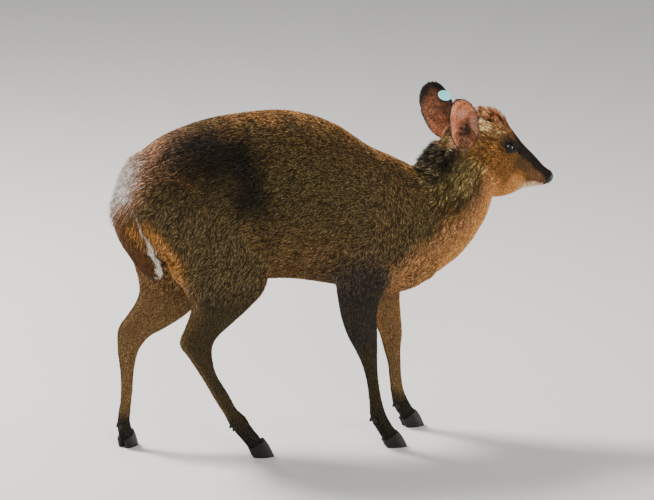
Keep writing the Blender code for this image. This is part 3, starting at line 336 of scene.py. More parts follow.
def section_points(rows, turn, draw_in):
    """Points round egg-shaped sections, at angles from their upper edge, drawn in."""
    upper, lower = rows[:, None, 0:2], rows[:, None, 2:4]
    widest = rows[:, None, 6]
    reach = np.linalg.norm(upper - lower, axis=2)
    down = np.where(np.cos(turn) > 0, widest, 1 - widest) * -np.cos(turn)
    down = widest + down * (1 - 2 * draw_in / reach)
    place = upper + (lower - upper) * down[..., None]
    across = rows[:, None, 5] + (rows[:, None, 4] - draw_in) * np.sin(turn)
    return np.stack((place[..., 0], across, place[..., 1]), axis=-1)


def loft(stations, depth, sides=72, step=0.003):
    """Rings of a loft, drawn in by a depth that runs evenly from the first to the last."""
    inset = np.interp(np.linspace(0, 1, len(stations)), np.linspace(0, 1, len(depth)), depth)
    rows = curve_rows(np.column_stack((stations, inset)), step)
    return section_points(rows, full_turn(sides), rows[:, 7:8])


COAT_DEPTH = {
    "trunk": (0.0040, 0.0040), "neck": (0.0045, 0.0030), "skull": (0.0022, 0.0006), "tail": (0.0045, 0.0035),
    "foreleg": (0.0040, 0.0022, 0.0012, 0.0010), "hind_leg": (0.0040, 0.0030, 0.0014, 0.0010),
}
kinds = {name: name.removesuffix("_right").removesuffix("_left") for name in PARTS}
lofts = [capped(loft(rows, COAT_DEPTH[kinds[name]])) for name, rows in PARTS.items()]
print("lofts", sum(len(points) for points, _ in lofts), "points")

# %% [markdown]
# ## One skin
# Overlapping lofts become one closed surface with a voxel remesh: Blender fills them
# with small cubes and wraps a new surface round the lot. That leaves creases where a leg
# joins the body, so the points are then drawn towards the mean of their neighbours, a
# lot on the trunk and little on the thin legs and the face, which would shrink.

# %% Fuse and smooth
SKIN_VOXEL = 0.0034


def fused(points, faces, voxel):
    """The outer surface of overlapping closed meshes, as a mesh."""
    solid = make_mesh("fusing", points, faces)
    remesh = solid.modifiers.new("fuse", "REMESH")
    remesh.mode = "VOXEL"
    remesh.voxel_size = voxel
    graph = bpy.context.evaluated_depsgraph_get()
    mesh = bpy.data.meshes.new_from_object(solid.evaluated_get(graph))
    bpy.data.objects.remove(solid)
    return mesh


def mesh_arrays(mesh):
    """Points, triangles and edges of a mesh."""
    points = np.empty(3 * len(mesh.vertices))
    mesh.vertices.foreach_get("co", points)
    mesh.calc_loop_triangles()
    faces = np.empty(3 * len(mesh.loop_triangles), np.int32)
    mesh.loop_triangles.foreach_get("vertices", faces)
    edges = np.empty(2 * len(mesh.edges), np.int32)
    mesh.edges.foreach_get("vertices", edges)
    return points.reshape(-1, 3), faces.reshape(-1, 3), edges.reshape(-1, 2)


def smoothed(points, edges, softness, rounds):
    """Each round moves a point half way to its neighbours' mean, times its softness."""
    ends = np.concatenate((edges[:, 0], edges[:, 1]))
    others = np.concatenate((edges[:, 1], edges[:, 0]))
    count = np.bincount(ends, minlength=len(points))[:, None]
    for _ in range(rounds):
        total = [np.bincount(ends, points[others, k], len(points)) for k in range(3)]
        mean = np.stack(total, axis=1) / count
        points = points + (mean - points) * 0.5 * softness[:, None]
    return points


def rise(x, start, stop):
    """From 0 to 1 between start and stop, by t squared times (3 - 2t)."""
    t = np.clip((x - start) / (stop - start), 0.0, 1.0)
    return t * t * (3 - 2 * t)


def fall(x, start, stop):
    """From 1 to 0 in the same way."""
    return 1 - rise(x, start, stop)


skin_mesh = fused(*joined(lofts), SKIN_VOXEL)
skin, skin_faces, skin_edges = mesh_arrays(skin_mesh)
u, v, _ = head_uvy(skin)
on_head = rise(u, -0.085, -0.055)
softness = np.clip((skin[:, 2] - 0.22) / 0.08, 0.12, 1.0) * (1 - 0.86 * on_head)
softness = np.where(skin[:, 0] < -0.285, np.minimum(softness, 0.3), softness)
skin = smoothed(skin, skin_edges, softness, 20)
print("skin", len(skin), "points", len(skin_faces), "triangles")

# %% [markdown]
# ## A finer face
# The face needs smaller triangles than the flank. Rather than remesh the whole animal
# finely, only the edges of the head are halved, and those of the muzzle and round the
# eyes once more. The new points are eased in with a few gentle rounds of smoothing.

# %% Halve the edges of the head
def finer(mesh, wanted):
    """Halve the edges whose both ends are wanted, given a test on an array of points."""
    shape = bmesh.new()
    shape.from_mesh(mesh)
    places = np.array([vertex.co[:] for vertex in shape.verts])
    take = wanted(places)
    edges = [e for e in shape.edges if take[e.verts[0].index] and take[e.verts[1].index]]
    bmesh.ops.subdivide_edges(shape, edges=edges, cuts=1, use_grid_fill=True)
    shape.to_mesh(mesh)
    shape.free()
    return mesh


def in_head(points):
    """True from the crown forward, all the way down."""
    u, v, _ = head_uvy(points)
    return (u > -0.072) & (v > -0.12)


def in_face(points):
    """True on the muzzle and round the eyes."""
    u, v, _ = head_uvy(points)
    return (u > -0.036) & (v > -0.045) & (v < 0.045)


skin_mesh.vertices.foreach_set("co", skin.astype(np.float32).ravel())
finer(skin_mesh, in_head)
skin, skin_faces, skin_edges = mesh_arrays(skin_mesh)
skin = smoothed(skin, skin_edges, in_head(skin) * 0.5, 5)
skin_mesh.vertices.foreach_set("co", skin.astype(np.float32).ravel())
finer(skin_mesh, in_face)
skin, skin_faces, skin_edges = mesh_arrays(skin_mesh)
skin = smoothed(skin, skin_edges, in_face(skin) * 0.5, 4)
bpy.data.meshes.remove(skin_mesh)
skin_faces = outward(skin, skin_faces)
print("finer skin", len(skin), "points", len(skin_faces), "triangles")

# %% [markdown]
# ## Folds of the face and body
# Small forms are pushed into the skin along its own normals: the line of the mouth, the
# slit of the scent gland in front of the eye, the fold behind the jaw, the creases of
# shoulder and thigh. Each is a groove round a line: its depth times a bell of the
# distance from that line, exp(-(distance / width) squared). The buttocks are tucked
# forward in the same way, to leave the tail's edge standing clear of them.

# %% Grooves and swells
def point_normals(points, faces):
    """Unit normals of points, each triangle weighing by its area."""
    a, b, c = (points[faces[:, k]] for k in range(3))
    facing = np.cross(b - a, c - a)
    corners = faces.ravel()
    spread = np.repeat(facing, 3, axis=0)
    total = [np.bincount(corners, spread[:, k], len(points)) for k in range(3)]
    return unit(np.stack(total, axis=1))


def line_distance(p, q, start, stop):
    """Distance from points (p, q) of a plane to the line between two places in it."""
    start, stop = np.array(start), np.array(stop)
    line = stop - start
    t = np.clip(((p - start[0]) * line[0] + (q - start[1]) * line[1]) / (line @ line), 0, 1)
    return np.hypot(p - start[0] - t * line[0], q - start[1] - t * line[1])


def bell(distance, width):
    """One on the line, falling off to either side as a bell."""
    return np.exp(-((distance / width) ** 2))


def path_distance(p, q, path):
    """Distance to the nearest leg of a path through several places."""
    legs = [line_distance(p, q, start, stop) for start, stop in zip(path[:-1], path[1:])]
    return np.min(legs, axis=0)


RUMP_ARCH = ((-0.272, 0.510), (-0.245, 0.530), (-0.207, 0.541), (-0.170, 0.541),
             (-0.140, 0.518), (-0.127, 0.480), (-0.122, 0.440))
BUTTOCK = ((-0.308, 0.405), (-0.292, 0.375), (-0.268, 0.345))
TAIL_STRIPE = ((-0.302, 0.429), (-0.293, 0.397), (-0.281, 0.377), (-0.273, 0.358),
               (-0.262, 0.340), (-0.258, 0.324), (-0.261, 0.308))
# Where the painted rim light on the rump begins: its x at each height, as seen from the side.
RIM_LIGHT_EDGE = ((0.412, 0.421, 0.4304, 0.4457, 0.4877, 0.531),
            (-0.336, -0.3293, -0.3211, -0.3080, -0.2960, -0.2790))
MOUTH = ((0.0366, -0.0262), (0.0930, -0.0172))
GLAND = ((-0.0075, 0.0068), (0.0125, 0.0050))
JAW_FOLD = ((-0.046, -0.030), (-0.034, -0.086))
SHOULDER_FOLD = ((0.137, 0.481), (0.102, 0.361))
THIGH_FOLD = ((-0.100, 0.300), (-0.112, 0.420))

normals = point_normals(skin, skin_faces)
u, v, y = head_uvy(skin)
x, z = skin[:, 0], skin[:, 2]
face = rise(u, -0.075, -0.05)
flank = rise(np.abs(y), 0.03, 0.06)
mouth, gland = (line_distance(u, v, *line) for line in (MOUTH, GLAND))
push = face * (0.0007 * bell(mouth - 0.0035, 0.0022) - 0.0013 * bell(mouth, 0.0014))
beside = face * (np.abs(y) > 0.012)
push += beside * (0.0009 * bell(gland - 0.0034, 0.0018) - 0.0022 * bell(gland, 0.0016))
push += -0.0030 * rise(u, -0.09, -0.06) * bell(line_distance(u, v, *JAW_FOLD), 0.0035)
push += -0.0022 * flank * (u < -0.06) * bell(line_distance(x, z, *SHOULDER_FOLD), 0.0070)
push += -0.0030 * flank * bell(line_distance(x, z, *THIGH_FOLD), 0.0120)
skin = skin + normals * push[:, None]
tuck = rise(np.abs(y), 0.036, 0.050) * rise(-normals[:, 0], -0.2, 0.3)
skin[:, 0] += 0.017 * tuck * bell(path_distance(x, z, BUTTOCK), 0.0200)


BROW_EDGE, BROW_TOP = 0.0100, 0.0086
BROW_SLOPE_IN, BROW_SLOPE_OUT = 1.6, 0.58


def brow_mound(points):
    """Skin raised round each eye to a low cone that starts at the edge of the ball."""
    for side in (LEFT, RIGHT):
        middle, out, _, _ = eye_frame(side)
        away = points - middle
        height = away @ out
        across = np.linalg.norm(away - height[:, None] * out, axis=1)
        past = across - BROW_EDGE
        cone = BROW_TOP - np.where(past < 0, -BROW_SLOPE_IN, BROW_SLOPE_OUT) * past
        lift = np.where(height > 0.0, np.clip(cone - height, 0.0, None), 0.0)
        points = points + lift[:, None] * out
    return points


skin = brow_mound(skin)
normals = point_normals(skin, skin_faces)
print("deepest groove", round(float(-push.min()) * 1000, 2), "mm")

# %% [markdown]
# ## Asking each place where it is
# A tuft has to know which part of the body it grows on, how far along and how far round
# it, and which way the coat lies there. The same stations answer that. Every section is
# an ellipse; a point's distance to it is measured in that ellipse's own half height and
# half width, and a section counts by exp(-8 (distance squared - least distance squared)).
# Where a leg leaves the trunk both count, so the lie turns smoothly from one to the other.

# %% Survey of the body
SURVEY_STEP, SURVEY_REACH, SURVEY_SHARPNESS, SURVEY_AT_ONCE = 0.008, 0.012, 8, 15000


def survey_rows():
    """Each section's middle, axes, half sizes, lie, part and place along it."""
    found = []
    for index, (name, stations) in enumerate(PARTS.items()):
        rows = curve_rows(stations, SURVEY_STEP)
        upper = np.column_stack((rows[:, 0], rows[:, 5], rows[:, 1]))
        lower = np.column_stack((rows[:, 2], rows[:, 5], rows[:, 3]))
        middle = (upper + lower) / 2
        onward = unit(np.gradient(middle, axis=0))
        half_height = np.linalg.norm(upper - lower, axis=1) / 2
        backwards = name in ("trunk", "neck", "skull")
        along = np.linspace(0, 1, len(rows))
        found.append(np.column_stack((
            middle, unit(upper - lower), np.cross(unit(upper - lower), SIDEWAYS),
            half_height, rows[:, 4], onward * (-1 if backwards else 1),
            np.full(len(rows), index), along,
        )))
    return np.vstack(found)


def survey(points):
    """For each point: the parts' shares, the lie, its place along and its angle round."""
    rows = survey_rows()
    part = rows[:, 14].astype(int)
    belongs = np.eye(len(PARTS))[part]
    shares, lies, alongs, angles = [], [], [], []
    for start in range(0, len(points), SURVEY_AT_ONCE):
        away = points[start:start + SURVEY_AT_ONCE, None, :] - rows[None, :, 0:3]
        up = np.einsum("ijk,jk->ij", away, rows[:, 3:6]) / rows[:, 9]
        side = away[..., 1] / rows[:, 10]
        off = np.einsum("ijk,jk->ij", away, rows[:, 6:9]) / SURVEY_REACH
        square = up**2 + side**2 + off**2
        weight = np.exp(-SURVEY_SHARPNESS * (square - square.min(axis=1, keepdims=True)))
        weight /= weight.sum(axis=1, keepdims=True)
        best = weight.argmax(axis=1)
        pick = np.arange(len(best))
        shares.append(weight @ belongs)
        lies.append(weight @ rows[:, 11:14])
        alongs.append(rows[best, 15])
        angles.append(np.arctan2(side[pick, best], up[pick, best]))
    return np.vstack(shares), unit(np.vstack(lies)), np.concatenate(alongs), np.concatenate(angles)


skin_shares, skin_lie, skin_along, skin_angle = survey(skin)
main = skin_shares.argmax(axis=1)
print({name: int((main == k).sum()) for k, name in enumerate(PART_NAMES)})

# %% [markdown]
# ## Colours of the coat
# A muntjac is not one brown. The colours below are albedos named for where they sit on
# the animal. Each marking is a soft mask worked out from the place on the body: a height
# on the flank, a bell round a spot, a line across the chest. Skin and tufts ask the same
# function, so the markings run through both.

# %% The palette
# Some of these albedos carry painted light: sunlight on the back and rump, the rump's rim light, and the
# sheen of the hair's pale bands.
COAT = {name: np.array(rgb) / 1000 for name, rgb in {
    "saddle": (80, 48, 13), "sunlit_chestnut": (300, 140, 40), "flank": (70, 49, 14),
    "low_flank": (120, 68, 22), "belly": (130, 68, 22), "rump_black": (5, 4, 2),
    "rump_rim_light": (960, 860, 840), "sunlit_rump_tan": (380, 200, 115), "thigh": (86, 60, 22),
    "inner_thigh": (440, 190, 38), "shoulder": (104, 68, 24), "elbow_grey": (34, 28, 22),
    "chest_tan": (350, 170, 64), "throat": (640, 310, 100), "neck_olive": (180, 132, 44),
    "neck_brown": (68, 42, 12), "nape_black": (12, 11, 12), "cheek": (270, 118, 28),
    "jaw": (700, 320, 95), "muzzle_dark": (22, 14, 11), "muzzle_mid": (120, 62, 26),
    "muzzle_side": (240, 115, 46), "chin": (950, 640, 440), "eye_dark": (40, 28, 18),
    "crown": (230, 74, 26), "ear_fluff": (300, 165, 95), "ochre": (500, 270, 100),
    "cream": (980, 630, 310), "leg_olive": (50, 35, 13), "leg_tan": (220, 126, 50),
    "foot_grey": (16, 13, 10), "tail_red": (90, 31, 4), "tail_white": (950, 880, 760),
    "pale_band_sheen": (620, 500, 360),
}.items()}


def spot(points, centre, reach):
    """One at the centre, on both sides alike, falling off as a bell along each axis."""
    away = np.column_stack((points[:, 0], np.abs(points[:, 1]), points[:, 2])) - np.array(centre)
    return np.exp(-((away / np.array(reach)) ** 2).sum(axis=1))


def flat_spot(u, v, centre, reach):
    """The same by two coordinates, such as the head's own u and v."""
    return np.exp(-(((u - centre[0]) / reach[0]) ** 2) - ((v - centre[1]) / reach[1]) ** 2)


def blend(colour, other, share):
    """Each place's colour, a share of the way towards another."""
    return colour + (other - colour) * share[..., None]


def ripple(points, size, seed):
    """Soft, seeded noise of about -1 to 1: seven sines in random directions."""
    random = np.random.default_rng(seed)
    waves = unit(random.normal(size=(7, 3))) * random.uniform(0.7, 1.4, (7, 1)) * 2 * np.pi / size
    return np.sin(points @ waves.T + random.uniform(0, 2 * np.pi, 7)).sum(axis=1) / 2.6


print(len(COAT), "coat colours")

# %% [markdown]
# ## Where each colour sits
# The trunk is painted first, then the neck, head, legs and tail over it by their share
# of each place. Edges between markings are broken up by soft noise, because fur of one
# colour always lies over the next.

# %% Markings
def seen_from_side(points):
    """Their x and z once slid along the line of sight to 35 mm off the middle plane."""
    aslant = np.abs(points[:, 1]) - 0.035
    return points[:, 0] + 0.31 * aslant, points[:, 2] - 0.24 * aslant


EAR_ROOT = np.array((0.2620, 0.0335, 0.5055))
EAR_AXIS = np.array((-0.0250, 0.0350, 0.0800))


def near_ear(points, side):
    """One where an ear leaves the head, falling off as a bell."""
    return bell(np.linalg.norm(points - EAR_ROOT * flip(side), axis=1), 0.0240)


def near_ears(points):
    """The same for whichever ear is the nearer."""
    return np.maximum(near_ear(points, LEFT), near_ear(points, RIGHT))


def coat_colour(points, normals, shares, angle):
    """The coat's albedo at each place, from soft masks laid one over another."""
    colour = np.tile(COAT["flank"], (len(points), 1))

    def lay(name, mask):
        nonlocal colour
        colour = blend(colour, COAT[name], np.clip(mask, 0.0, 1.0))

    part = parts_of(shares)
    fore, hind, neck, head, tail = (part[name] for name in ("fore", "hind", "neck", "skull", "tail"))
    wander = ripple(points, 0.05, 3)
    x = points[:, 0] + 0.006 * wander
    y = points[:, 1]
    z = points[:, 2] + 0.006 * ripple(points, 0.035, 5)
    top = np.interp(x, TRUNK[:, 0], TRUNK[:, 1])
    low = np.interp(x, TRUNK[:, 2], TRUNK[:, 3])
    height = (z - low) / (top - low)
    u, v, _ = head_uvy(points)
    u, v = u + 0.003 * wander, v + 0.003 * ripple(points, 0.02, 7)
    upright = np.cos(angle)

    lay("low_flank", fall(height, 0.15, 0.50))
    lay("saddle", rise(height, 0.66, 0.88))
    # Painted sunlight: a lighter chestnut band along the top of the back, where the light falls.
    lay("sunlit_chestnut", rise(height, 0.92, 1.02) * rise(x, -0.20, -0.10))
    lay("belly", fall(height, 0.02, 0.13))
    lay("shoulder", spot(points, (0.11, 0.07, 0.40), (0.07, 0.06, 0.07)))
    rearward = -normals[:, 0]
    # Painted sunlight: the rump is tan and lighter where it faces up and back, towards the light.
    lay("sunlit_rump_tan", 0.7 * rise(-x, 0.16, 0.27) * rise(normals[:, 2] - normals[:, 0], 0.5, 1.2))
    arch = path_distance(x, z, RUMP_ARCH)
    aside = rise(np.abs(y), 0.015, 0.045)
    streaky = 1.1 + 0.40 * ripple(points * np.array((0.45, 0.6, 1.2)), 0.007, 19)
    lay("rump_black", 1.05 * streaky * aside * bell(arch, 0.026))
    lay("rump_black", 0.95 * streaky * spot(points, (-0.180, 0.080, 0.512), (0.056, 0.070, 0.036)))
    lay("rump_black", 0.50 * streaky * spot(points, (-0.225, 0.080, 0.490), (0.060, 0.060, 0.050)))
    # Chestnut streaks across the upper rump, lit by painted sunlight like the back.
    for start, stop in (((-0.205, 0.566), (-0.140, 0.541)), ((-0.262, 0.492), (-0.215, 0.474))):
        streak = bell(line_distance(x, z, start, stop), 0.0080) * (0.5 + 0.6 * ripple(points, 0.008, 15))
        lay("sunlit_chestnut", 0.5 * aside * streak)

    lay("thigh", hind * fall(z, 0.46, 0.50))
    behind = rise(-x, 0.20, 0.24)
    x_seen, z_seen = seen_from_side(points)
    # Painted rim light: high on the rump, where it faces back, the coat turns tan and then pale towards the
    # outline, as if lit from behind.
    inner_edge = np.interp(z_seen, *RIM_LIGHT_EDGE)
    rim = rise(rearward, 0.05, 0.40) * rise(z, 0.41, 0.45)
    combed_out = 0.007 * ripple(points * np.array((0.3, 1.0, 1.0)), 0.006, 9)
    beyond = inner_edge - x_seen + combed_out
    lay("sunlit_rump_tan", 0.9 * rim * rise(beyond, -0.036, 0.0))
    lay("rump_rim_light", 0.9 * rim * rise(beyond, -0.012, 0.014) * rise(0.550 - z_seen, 0.0, 0.090))
    buttock = behind * rise(rearward, 0.20, 0.70) * rise(z, 0.24, 0.29)
    lay("inner_thigh", 0.9 * buttock * fall(z, 0.39, 0.43))
    inner = rise(-normals[:, 1] * np.sign(y), 0.1, 0.7)
    lay("inner_thigh", inner * hind * (z < 0.38))
    lay("elbow_grey", 1.1 * spot(points, (0.080, 0.075, 0.300), (0.062, 0.060, 0.038)) * (1 - inner))

    chest_line = np.interp(x, (0.10, 0.148, 0.239, 0.278), (0.300, 0.337, 0.388, 0.409))
    lay("chest_tan", rise(x, 0.11, 0.15) * fall(z - chest_line, -0.030, 0.016))

    lay("neck_brown", neck * rise(z, 0.36, 0.42))
    lay("neck_olive", neck * rise(z, 0.40, 0.46) * rise(upright, -0.35, 0.35))
    lay("chest_tan", neck * rise(-upright, -0.05, 0.55))
    lay("throat", neck * rise(-upright, 0.35, 0.95))
    lay("nape_black", 0.88 * neck * rise(upright, 0.38, 0.75) * rise(z, 0.430, 0.470))

    lay("cheek", head)
    lay("neck_olive", 0.75 * head * fall(u, -0.085, -0.050))
    lay("jaw", head * fall(v + 0.25 * u, -0.066, -0.034) * rise(u, -0.055, -0.02))
    lay("jaw", head * rise(u, 0.020, 0.034) * fall(v, -0.040, -0.020))
    ridge = np.interp(u, SKULL[:, 0], SKULL[:, 1])
    before_eye = rise(u - 0.3 * np.clip(-v, 0, None), 0.002, 0.018)
    lay("muzzle_mid", head * before_eye * rise(v, -0.026, -0.014))
    lay("muzzle_side", head * flat_spot(u, v, (0.064, -0.013), (0.022, 0.009)))
    brow = rise(v - 0.0060 + 0.20 * u, -0.0050, 0.0035)
    lay("muzzle_dark", head * rise(u, -0.020, 0.002) * brow)
    lay("muzzle_dark", 0.8 * head * rise(u, 0.068, 0.088) * rise(v, -0.020, -0.010))
    lay("crown", head * rise(v - ridge, -0.016, -0.006) * fall(u, -0.026, -0.008))
    lay("ochre", 0.8 * head * flat_spot(u, v, (-0.040, 0.018), (0.014, 0.010)))
    fleck = rise(ripple(points, 0.009, 17), 0.1, 0.5)
    lay("cream", 0.9 * fleck * head * flat_spot(u, v, (-0.042, 0.0215), (0.0120, 0.0070)))
    lay("cream", 1.7 * (head + neck) * flat_spot(u, v, (-0.0650, 0.0165), (0.0090, 0.0085)))
    lay("eye_dark", 1.1 * head * flat_spot(u, v, (-0.014, 0.0105), (0.0150, 0.0075)))
    lay("eye_dark", 0.9 * head * flat_spot(u, v, (-0.014, 0.0040), (0.0120, 0.0085)))
    lay("nape_black", 1.3 * head * bell(line_distance(u, v, *GLAND), 0.0026))
    lay("muzzle_dark", 0.45 * head * bell(line_distance(u, v, *MOUTH), 0.0012))
    lay("chin", 1.2 * head * rise(u, 0.044, 0.062) * fall(v - 0.20 * u, -0.0400, -0.0345))
    lay("nape_black", head * rise(-u, 0.066, 0.085) * rise(upright, 0.55, 0.85))

    lay("ear_fluff", (head + neck) * rise(near_ears(points), 0.45, 0.85))

    lay("elbow_grey", fore * (1 - inner) * fall(z, 0.27, 0.31))
    lay("leg_olive", 0.8 * fore * fall(z, 0.15, 0.21))
    lay("leg_olive", hind * fall(z, 0.26, 0.31))
    lay("leg_tan", 0.50 * hind * rise(rearward, 0.2, 0.8) * fall(z, 0.26, 0.34))
    lay("leg_tan", 0.9 * inner * (hind + fore) * fall(z, 0.30, 0.38))
    ahead = rise(normals[:, 0], 0.45, 0.90)
    lay("inner_thigh", 0.40 * ahead * hind * rise(z, 0.18, 0.22) * fall(z, 0.30, 0.36))
    lay("inner_thigh", 0.40 * inner * fore * rise(z, 0.10, 0.20) * rise(np.abs(normals[:, 0]), 0.1, 0.8))
    lay("foot_grey", (hind + fore) * fall(z, 0.045, 0.085))

    lay("tail_red", rise(tail, 0.12, 0.40) * (1 - 0.5 * rise(z, 0.425, 0.455)))
    # Painted rim light on the tail: tan along its back edge, pale along its upper outer edge.
    lay("sunlit_rump_tan", 0.5 * tail * rise(-x, 0.316, 0.326))
    lay("rump_rim_light", tail * rise(beyond, -0.006, 0.012) * rise(z_seen, 0.412, 0.430))
    stripe = path_distance(x_seen, z_seen, TAIL_STRIPE)
    width = np.interp(z_seen, (0.30, 0.33, 0.35, 0.38, 0.43), (0.0095, 0.0100, 0.0062, 0.0024, 0.0010))
    edge = fall(stripe, 0.6 * width, 1.2 * width) * (np.abs(y) > 0.015) * (y < 0.047)
    edge = edge * (tail > np.interp(points[:, 2], (0.345, 0.358), (0.20, -0.01)))
    lay("tail_white", edge * (1 - 0.60 * rise(z, 0.365, 0.41)))
    return colour


skin_colour = coat_colour(skin, normals, skin_shares, skin_angle)
print("mean albedo", np.round(skin_colour.mean(axis=0), 3))

# %% [markdown]
# ## Writing shaders as sums
# A shader is a graph of nodes, but its maths reads best as maths. This class holds one
# output socket, and +, - and * on it add Math nodes. Colours go through Mix, because
# a Math node would turn them grey.

# %% A socket that does sums
class Wire:
    """One output of a node in a material."""

    def __init__(self, tree, socket=None):
        self.tree, self.socket = tree, socket

    def node(self, kind, settings, inputs, output=0):
        """A node of this kind: settings first, then values or wires for its inputs."""
        made = self.tree.nodes.new("ShaderNode" + kind)
        for name, value in settings.items():
            if name == "stops":
                for element, (place, colour) in zip(made.color_ramp.elements, value):
                    element.position, element.color = place, (*colour, 1.0)
            else:
                setattr(made, name, value)
        for name, value in inputs.items():
            if isinstance(value, Wire):
                self.tree.links.new(value.socket, made.inputs[name])
            else:
                made.inputs[name].default_value = value
        return Wire(self.tree, made.outputs[output])

    def sum(self, operation, a, b):
        """A Math node."""
        return self.node("Math", {"operation": operation}, {0: a, 1: b})

    def __add__(self, other):
        return self.sum("ADD", self, other)

    def __sub__(self, other):
        return self.sum("SUBTRACT", self, other)

    def __mul__(self, other):
        return self.sum("MULTIPLY", self, other)

    __radd__ = __add__


def mix(wire, share, first, second, way="MIX"):
    """A mix of two colours by a share, or another way of laying them together."""
    settings = {"data_type": "RGBA", "blend_type": way}
    return wire.node("Mix", settings, {0: share, 6: first, 7: second}, output=2)


def material(name, roughness, **constants):
    """A material, its shader with numbers set on it, and a wire to build from."""
    made = bpy.data.materials.new(name)
    made.use_nodes = True
    shader = made.node_tree.nodes["Principled BSDF"]
    shader.inputs["Roughness"].default_value = roughness
    for socket, value in constants.items():
        shader.inputs[socket.replace("_", " ")].default_value = value
    return made, shader, Wire(made.node_tree)


def plug(shader, socket, wire):
    """Join a wire to one of the shader's inputs."""
    wire.tree.links.new(wire.socket, shader.inputs[socket])


print("shader sums ready")

# %% [markdown]
# ## Fur, skin and the hair's speckle
# A wild deer's hair is banded, so the coat is speckled at the scale of one hair. Each
# tuft carries its own bands in a colour attribute. The skin under it has the same colour,
# darkened, with fine noise for the shadow between hairs. A little sheen lifts the edges,
# as hair does where light grazes it.

# %% Coat materials
def position(wire, scale):
    """The place on the piece, stretched by a scale along each axis."""
    place = wire.node("TexCoord", {}, {}, output="Object")
    return wire.node("Mapping", {}, {"Vector": place, "Scale": scale})


def noise(wire, scale, detail=2.0, stretch=(1.0, 1.0, 1.0)):
    """Noise from 0 to 1 over the piece, in its own place stretched along each axis."""
    place = position(wire, stretch)
    return wire.node("TexNoise", {}, {"Vector": place, "Scale": scale, "Detail": detail})


def grain_bump(shader, wire, height, strength, distance, **settings):
    """A bump of this height on the shader's normal."""
    inputs = {"Strength": strength, "Distance": distance, "Height": height}
    plug(shader, "Normal", wire.node("Bump", settings, inputs))


def tinted(wire, share, dark, light):
    """The piece's own colours, times a share between a dark and a light tint."""
    coat = wire.node("Attribute", {"attribute_name": "coat"}, {}, output="Color")
    return mix(wire, 1.0, coat, mix(wire, share, (*dark, 1), (*light, 1)), "MULTIPLY")


def mottled(name, base, grain, dark, light, rough=None, bump=None, **constants):
    """The piece's own colours between a dark and a light tint, by noise of this grain.

    The noise also adds to the roughness and raises a bump, each given by two numbers.
    """
    made, shader, wire = material(name, base, **constants)
    speckle = noise(wire, *grain)
    plug(shader, "Base Color", tinted(wire, speckle, dark, light))
    if rough:
        plug(shader, "Roughness", rough[0] + speckle * rough[1])
    if bump:
        grain_bump(shader, wire, speckle, *bump)
    return made


def fur_material():
    """The tufts' material: their banded colour, varied a little by fine noise."""
    made, shader, wire = material("coat_fur", 0.62, Sheen_Weight=0.06, Sheen_Roughness=0.4,
                                  Sheen_Tint=(1.0, 0.80, 0.55, 1.0), Specular_IOR_Level=0.16)
    fine = (noise(wire, 460.0) - 0.38) * 4.2
    plug(shader, "Base Color", tinted(wire, fine, (0.50, 0.47, 0.44), (1.45, 1.42, 1.40)))
    plug(shader, "Roughness", 0.55 + fine * 0.10)
    return made


FUR = fur_material()
SKIN = mottled("coat_skin", 0.75, (620.0, 4.0, (0.45, 1.0, 0.8)), (0.12, 0.11, 0.10), (0.80, 0.78, 0.74),
               (0.62, 0.25), (0.5, 0.0008), Specular_IOR_Level=0.10)
print("materials", FUR.name, SKIN.name)

# %% Dress the skin
FLESH = [name for name in NODES if name in ("chest", "hindquarters", "neck", "head", "tail")
         or name.startswith(("forearm", "gaskin", "fore_cannon", "hind_cannon"))]
dress("skin", skin, skin_faces, SKIN, "coat", FLESH, skin_colour)

# %% [markdown]
# ## One tuft
# Drawn alone, a hair is far too thin to show, and a coat drawn hair by hair would be
# millions of faces. A tuft of hairs is one closed sliver: a root sunk in the skin, three
# points round its middle, and a tip that has bent back towards the body. Six triangles
# make one, so a quarter of a million of them come to a million and a half.

# %% Tufts from arrays
TUFT_FACES = np.array(((4, 3, 1), (4, 2, 3), (4, 1, 2), (0, 1, 3), (0, 3, 2), (0, 2, 1)))
PATCH = 0.0015


def tuft_points(root, normal, lie, length, width, lift, bend):
    """Five points a tuft; off the skin it rises by lift times its place, less the bend."""
    across = np.cross(lie, normal)
    length, width, lift, bend = (np.broadcast_to(n, len(root))[:, None] for n in (length, width, lift, bend))
    middle = root + lie * length * 0.42 + normal * lift * length * 0.42 * (1 - bend * 0.42)
    tip = root + lie * length + normal * lift * length * (1 - bend)
    start = root - lie * length * 0.10 - normal * width * 0.35
    half = across * width / 2
    ridge = middle + normal * width * 0.34
    return np.stack((start, middle + half, middle - half, ridge, tip), axis=1)


def tuft_arrays(points, band, shadow, bright, along, angle):
    """Faces, colours and bake places of tufts: dark at the root and banded to the tip."""
    count = len(points)
    faces = (np.arange(count) * 5)[:, None, None] + TUFT_FACES
    colours = np.stack((band * shadow, band, band, band * 1.05, band * bright), axis=1)
    place = np.column_stack((0.01 + 0.98 * along, 0.01 + 0.98 * (angle / (2 * np.pi) + 0.5)))
    spread = np.array(((0, -1), (-0.6, 0), (0.6, 0), (0, 0.3), (0, 1))) * PATCH
    uv = np.clip(place[:, None, :] + spread, 0.0, 1.0)
    return faces.reshape(-1, 3), colours.reshape(-1, 3), uv.reshape(-1, 2)


print("a tuft has", len(TUFT_FACES), "triangles")

# %% [markdown]
# ## Sowing the coat
# Roots are drawn on the skin's triangles by area, spaced evenly along the sum of the
# areas with a small seeded step, so that no place is left bald. A root takes its normal
# and its lie from the corners of its triangle. The lie is turned a little by soft noise:
# that is what makes fur break into streaks instead of looking combed by a machine.

# %% Roots on the skin
def triangle_areas(points, faces):
    """Areas of the triangles."""
    a, b, c = (points[faces[:, k]] for k in range(3))
    return np.linalg.norm(np.cross(b - a, c - a), axis=1) / 2


SKIN_AREA = triangle_areas(skin, skin_faces)
LIE_STRAY, COLOUR_STRAY = 0.10, 0.0045
ROOT_SHADOW, TIP_GLINT = 0.22, 0.060


def along_skin(ways, normal):
    """Ways made one long, less what would lead off the skin."""
    return unit(ways - normal * np.einsum("ij,ij->i", ways, normal)[:, None])


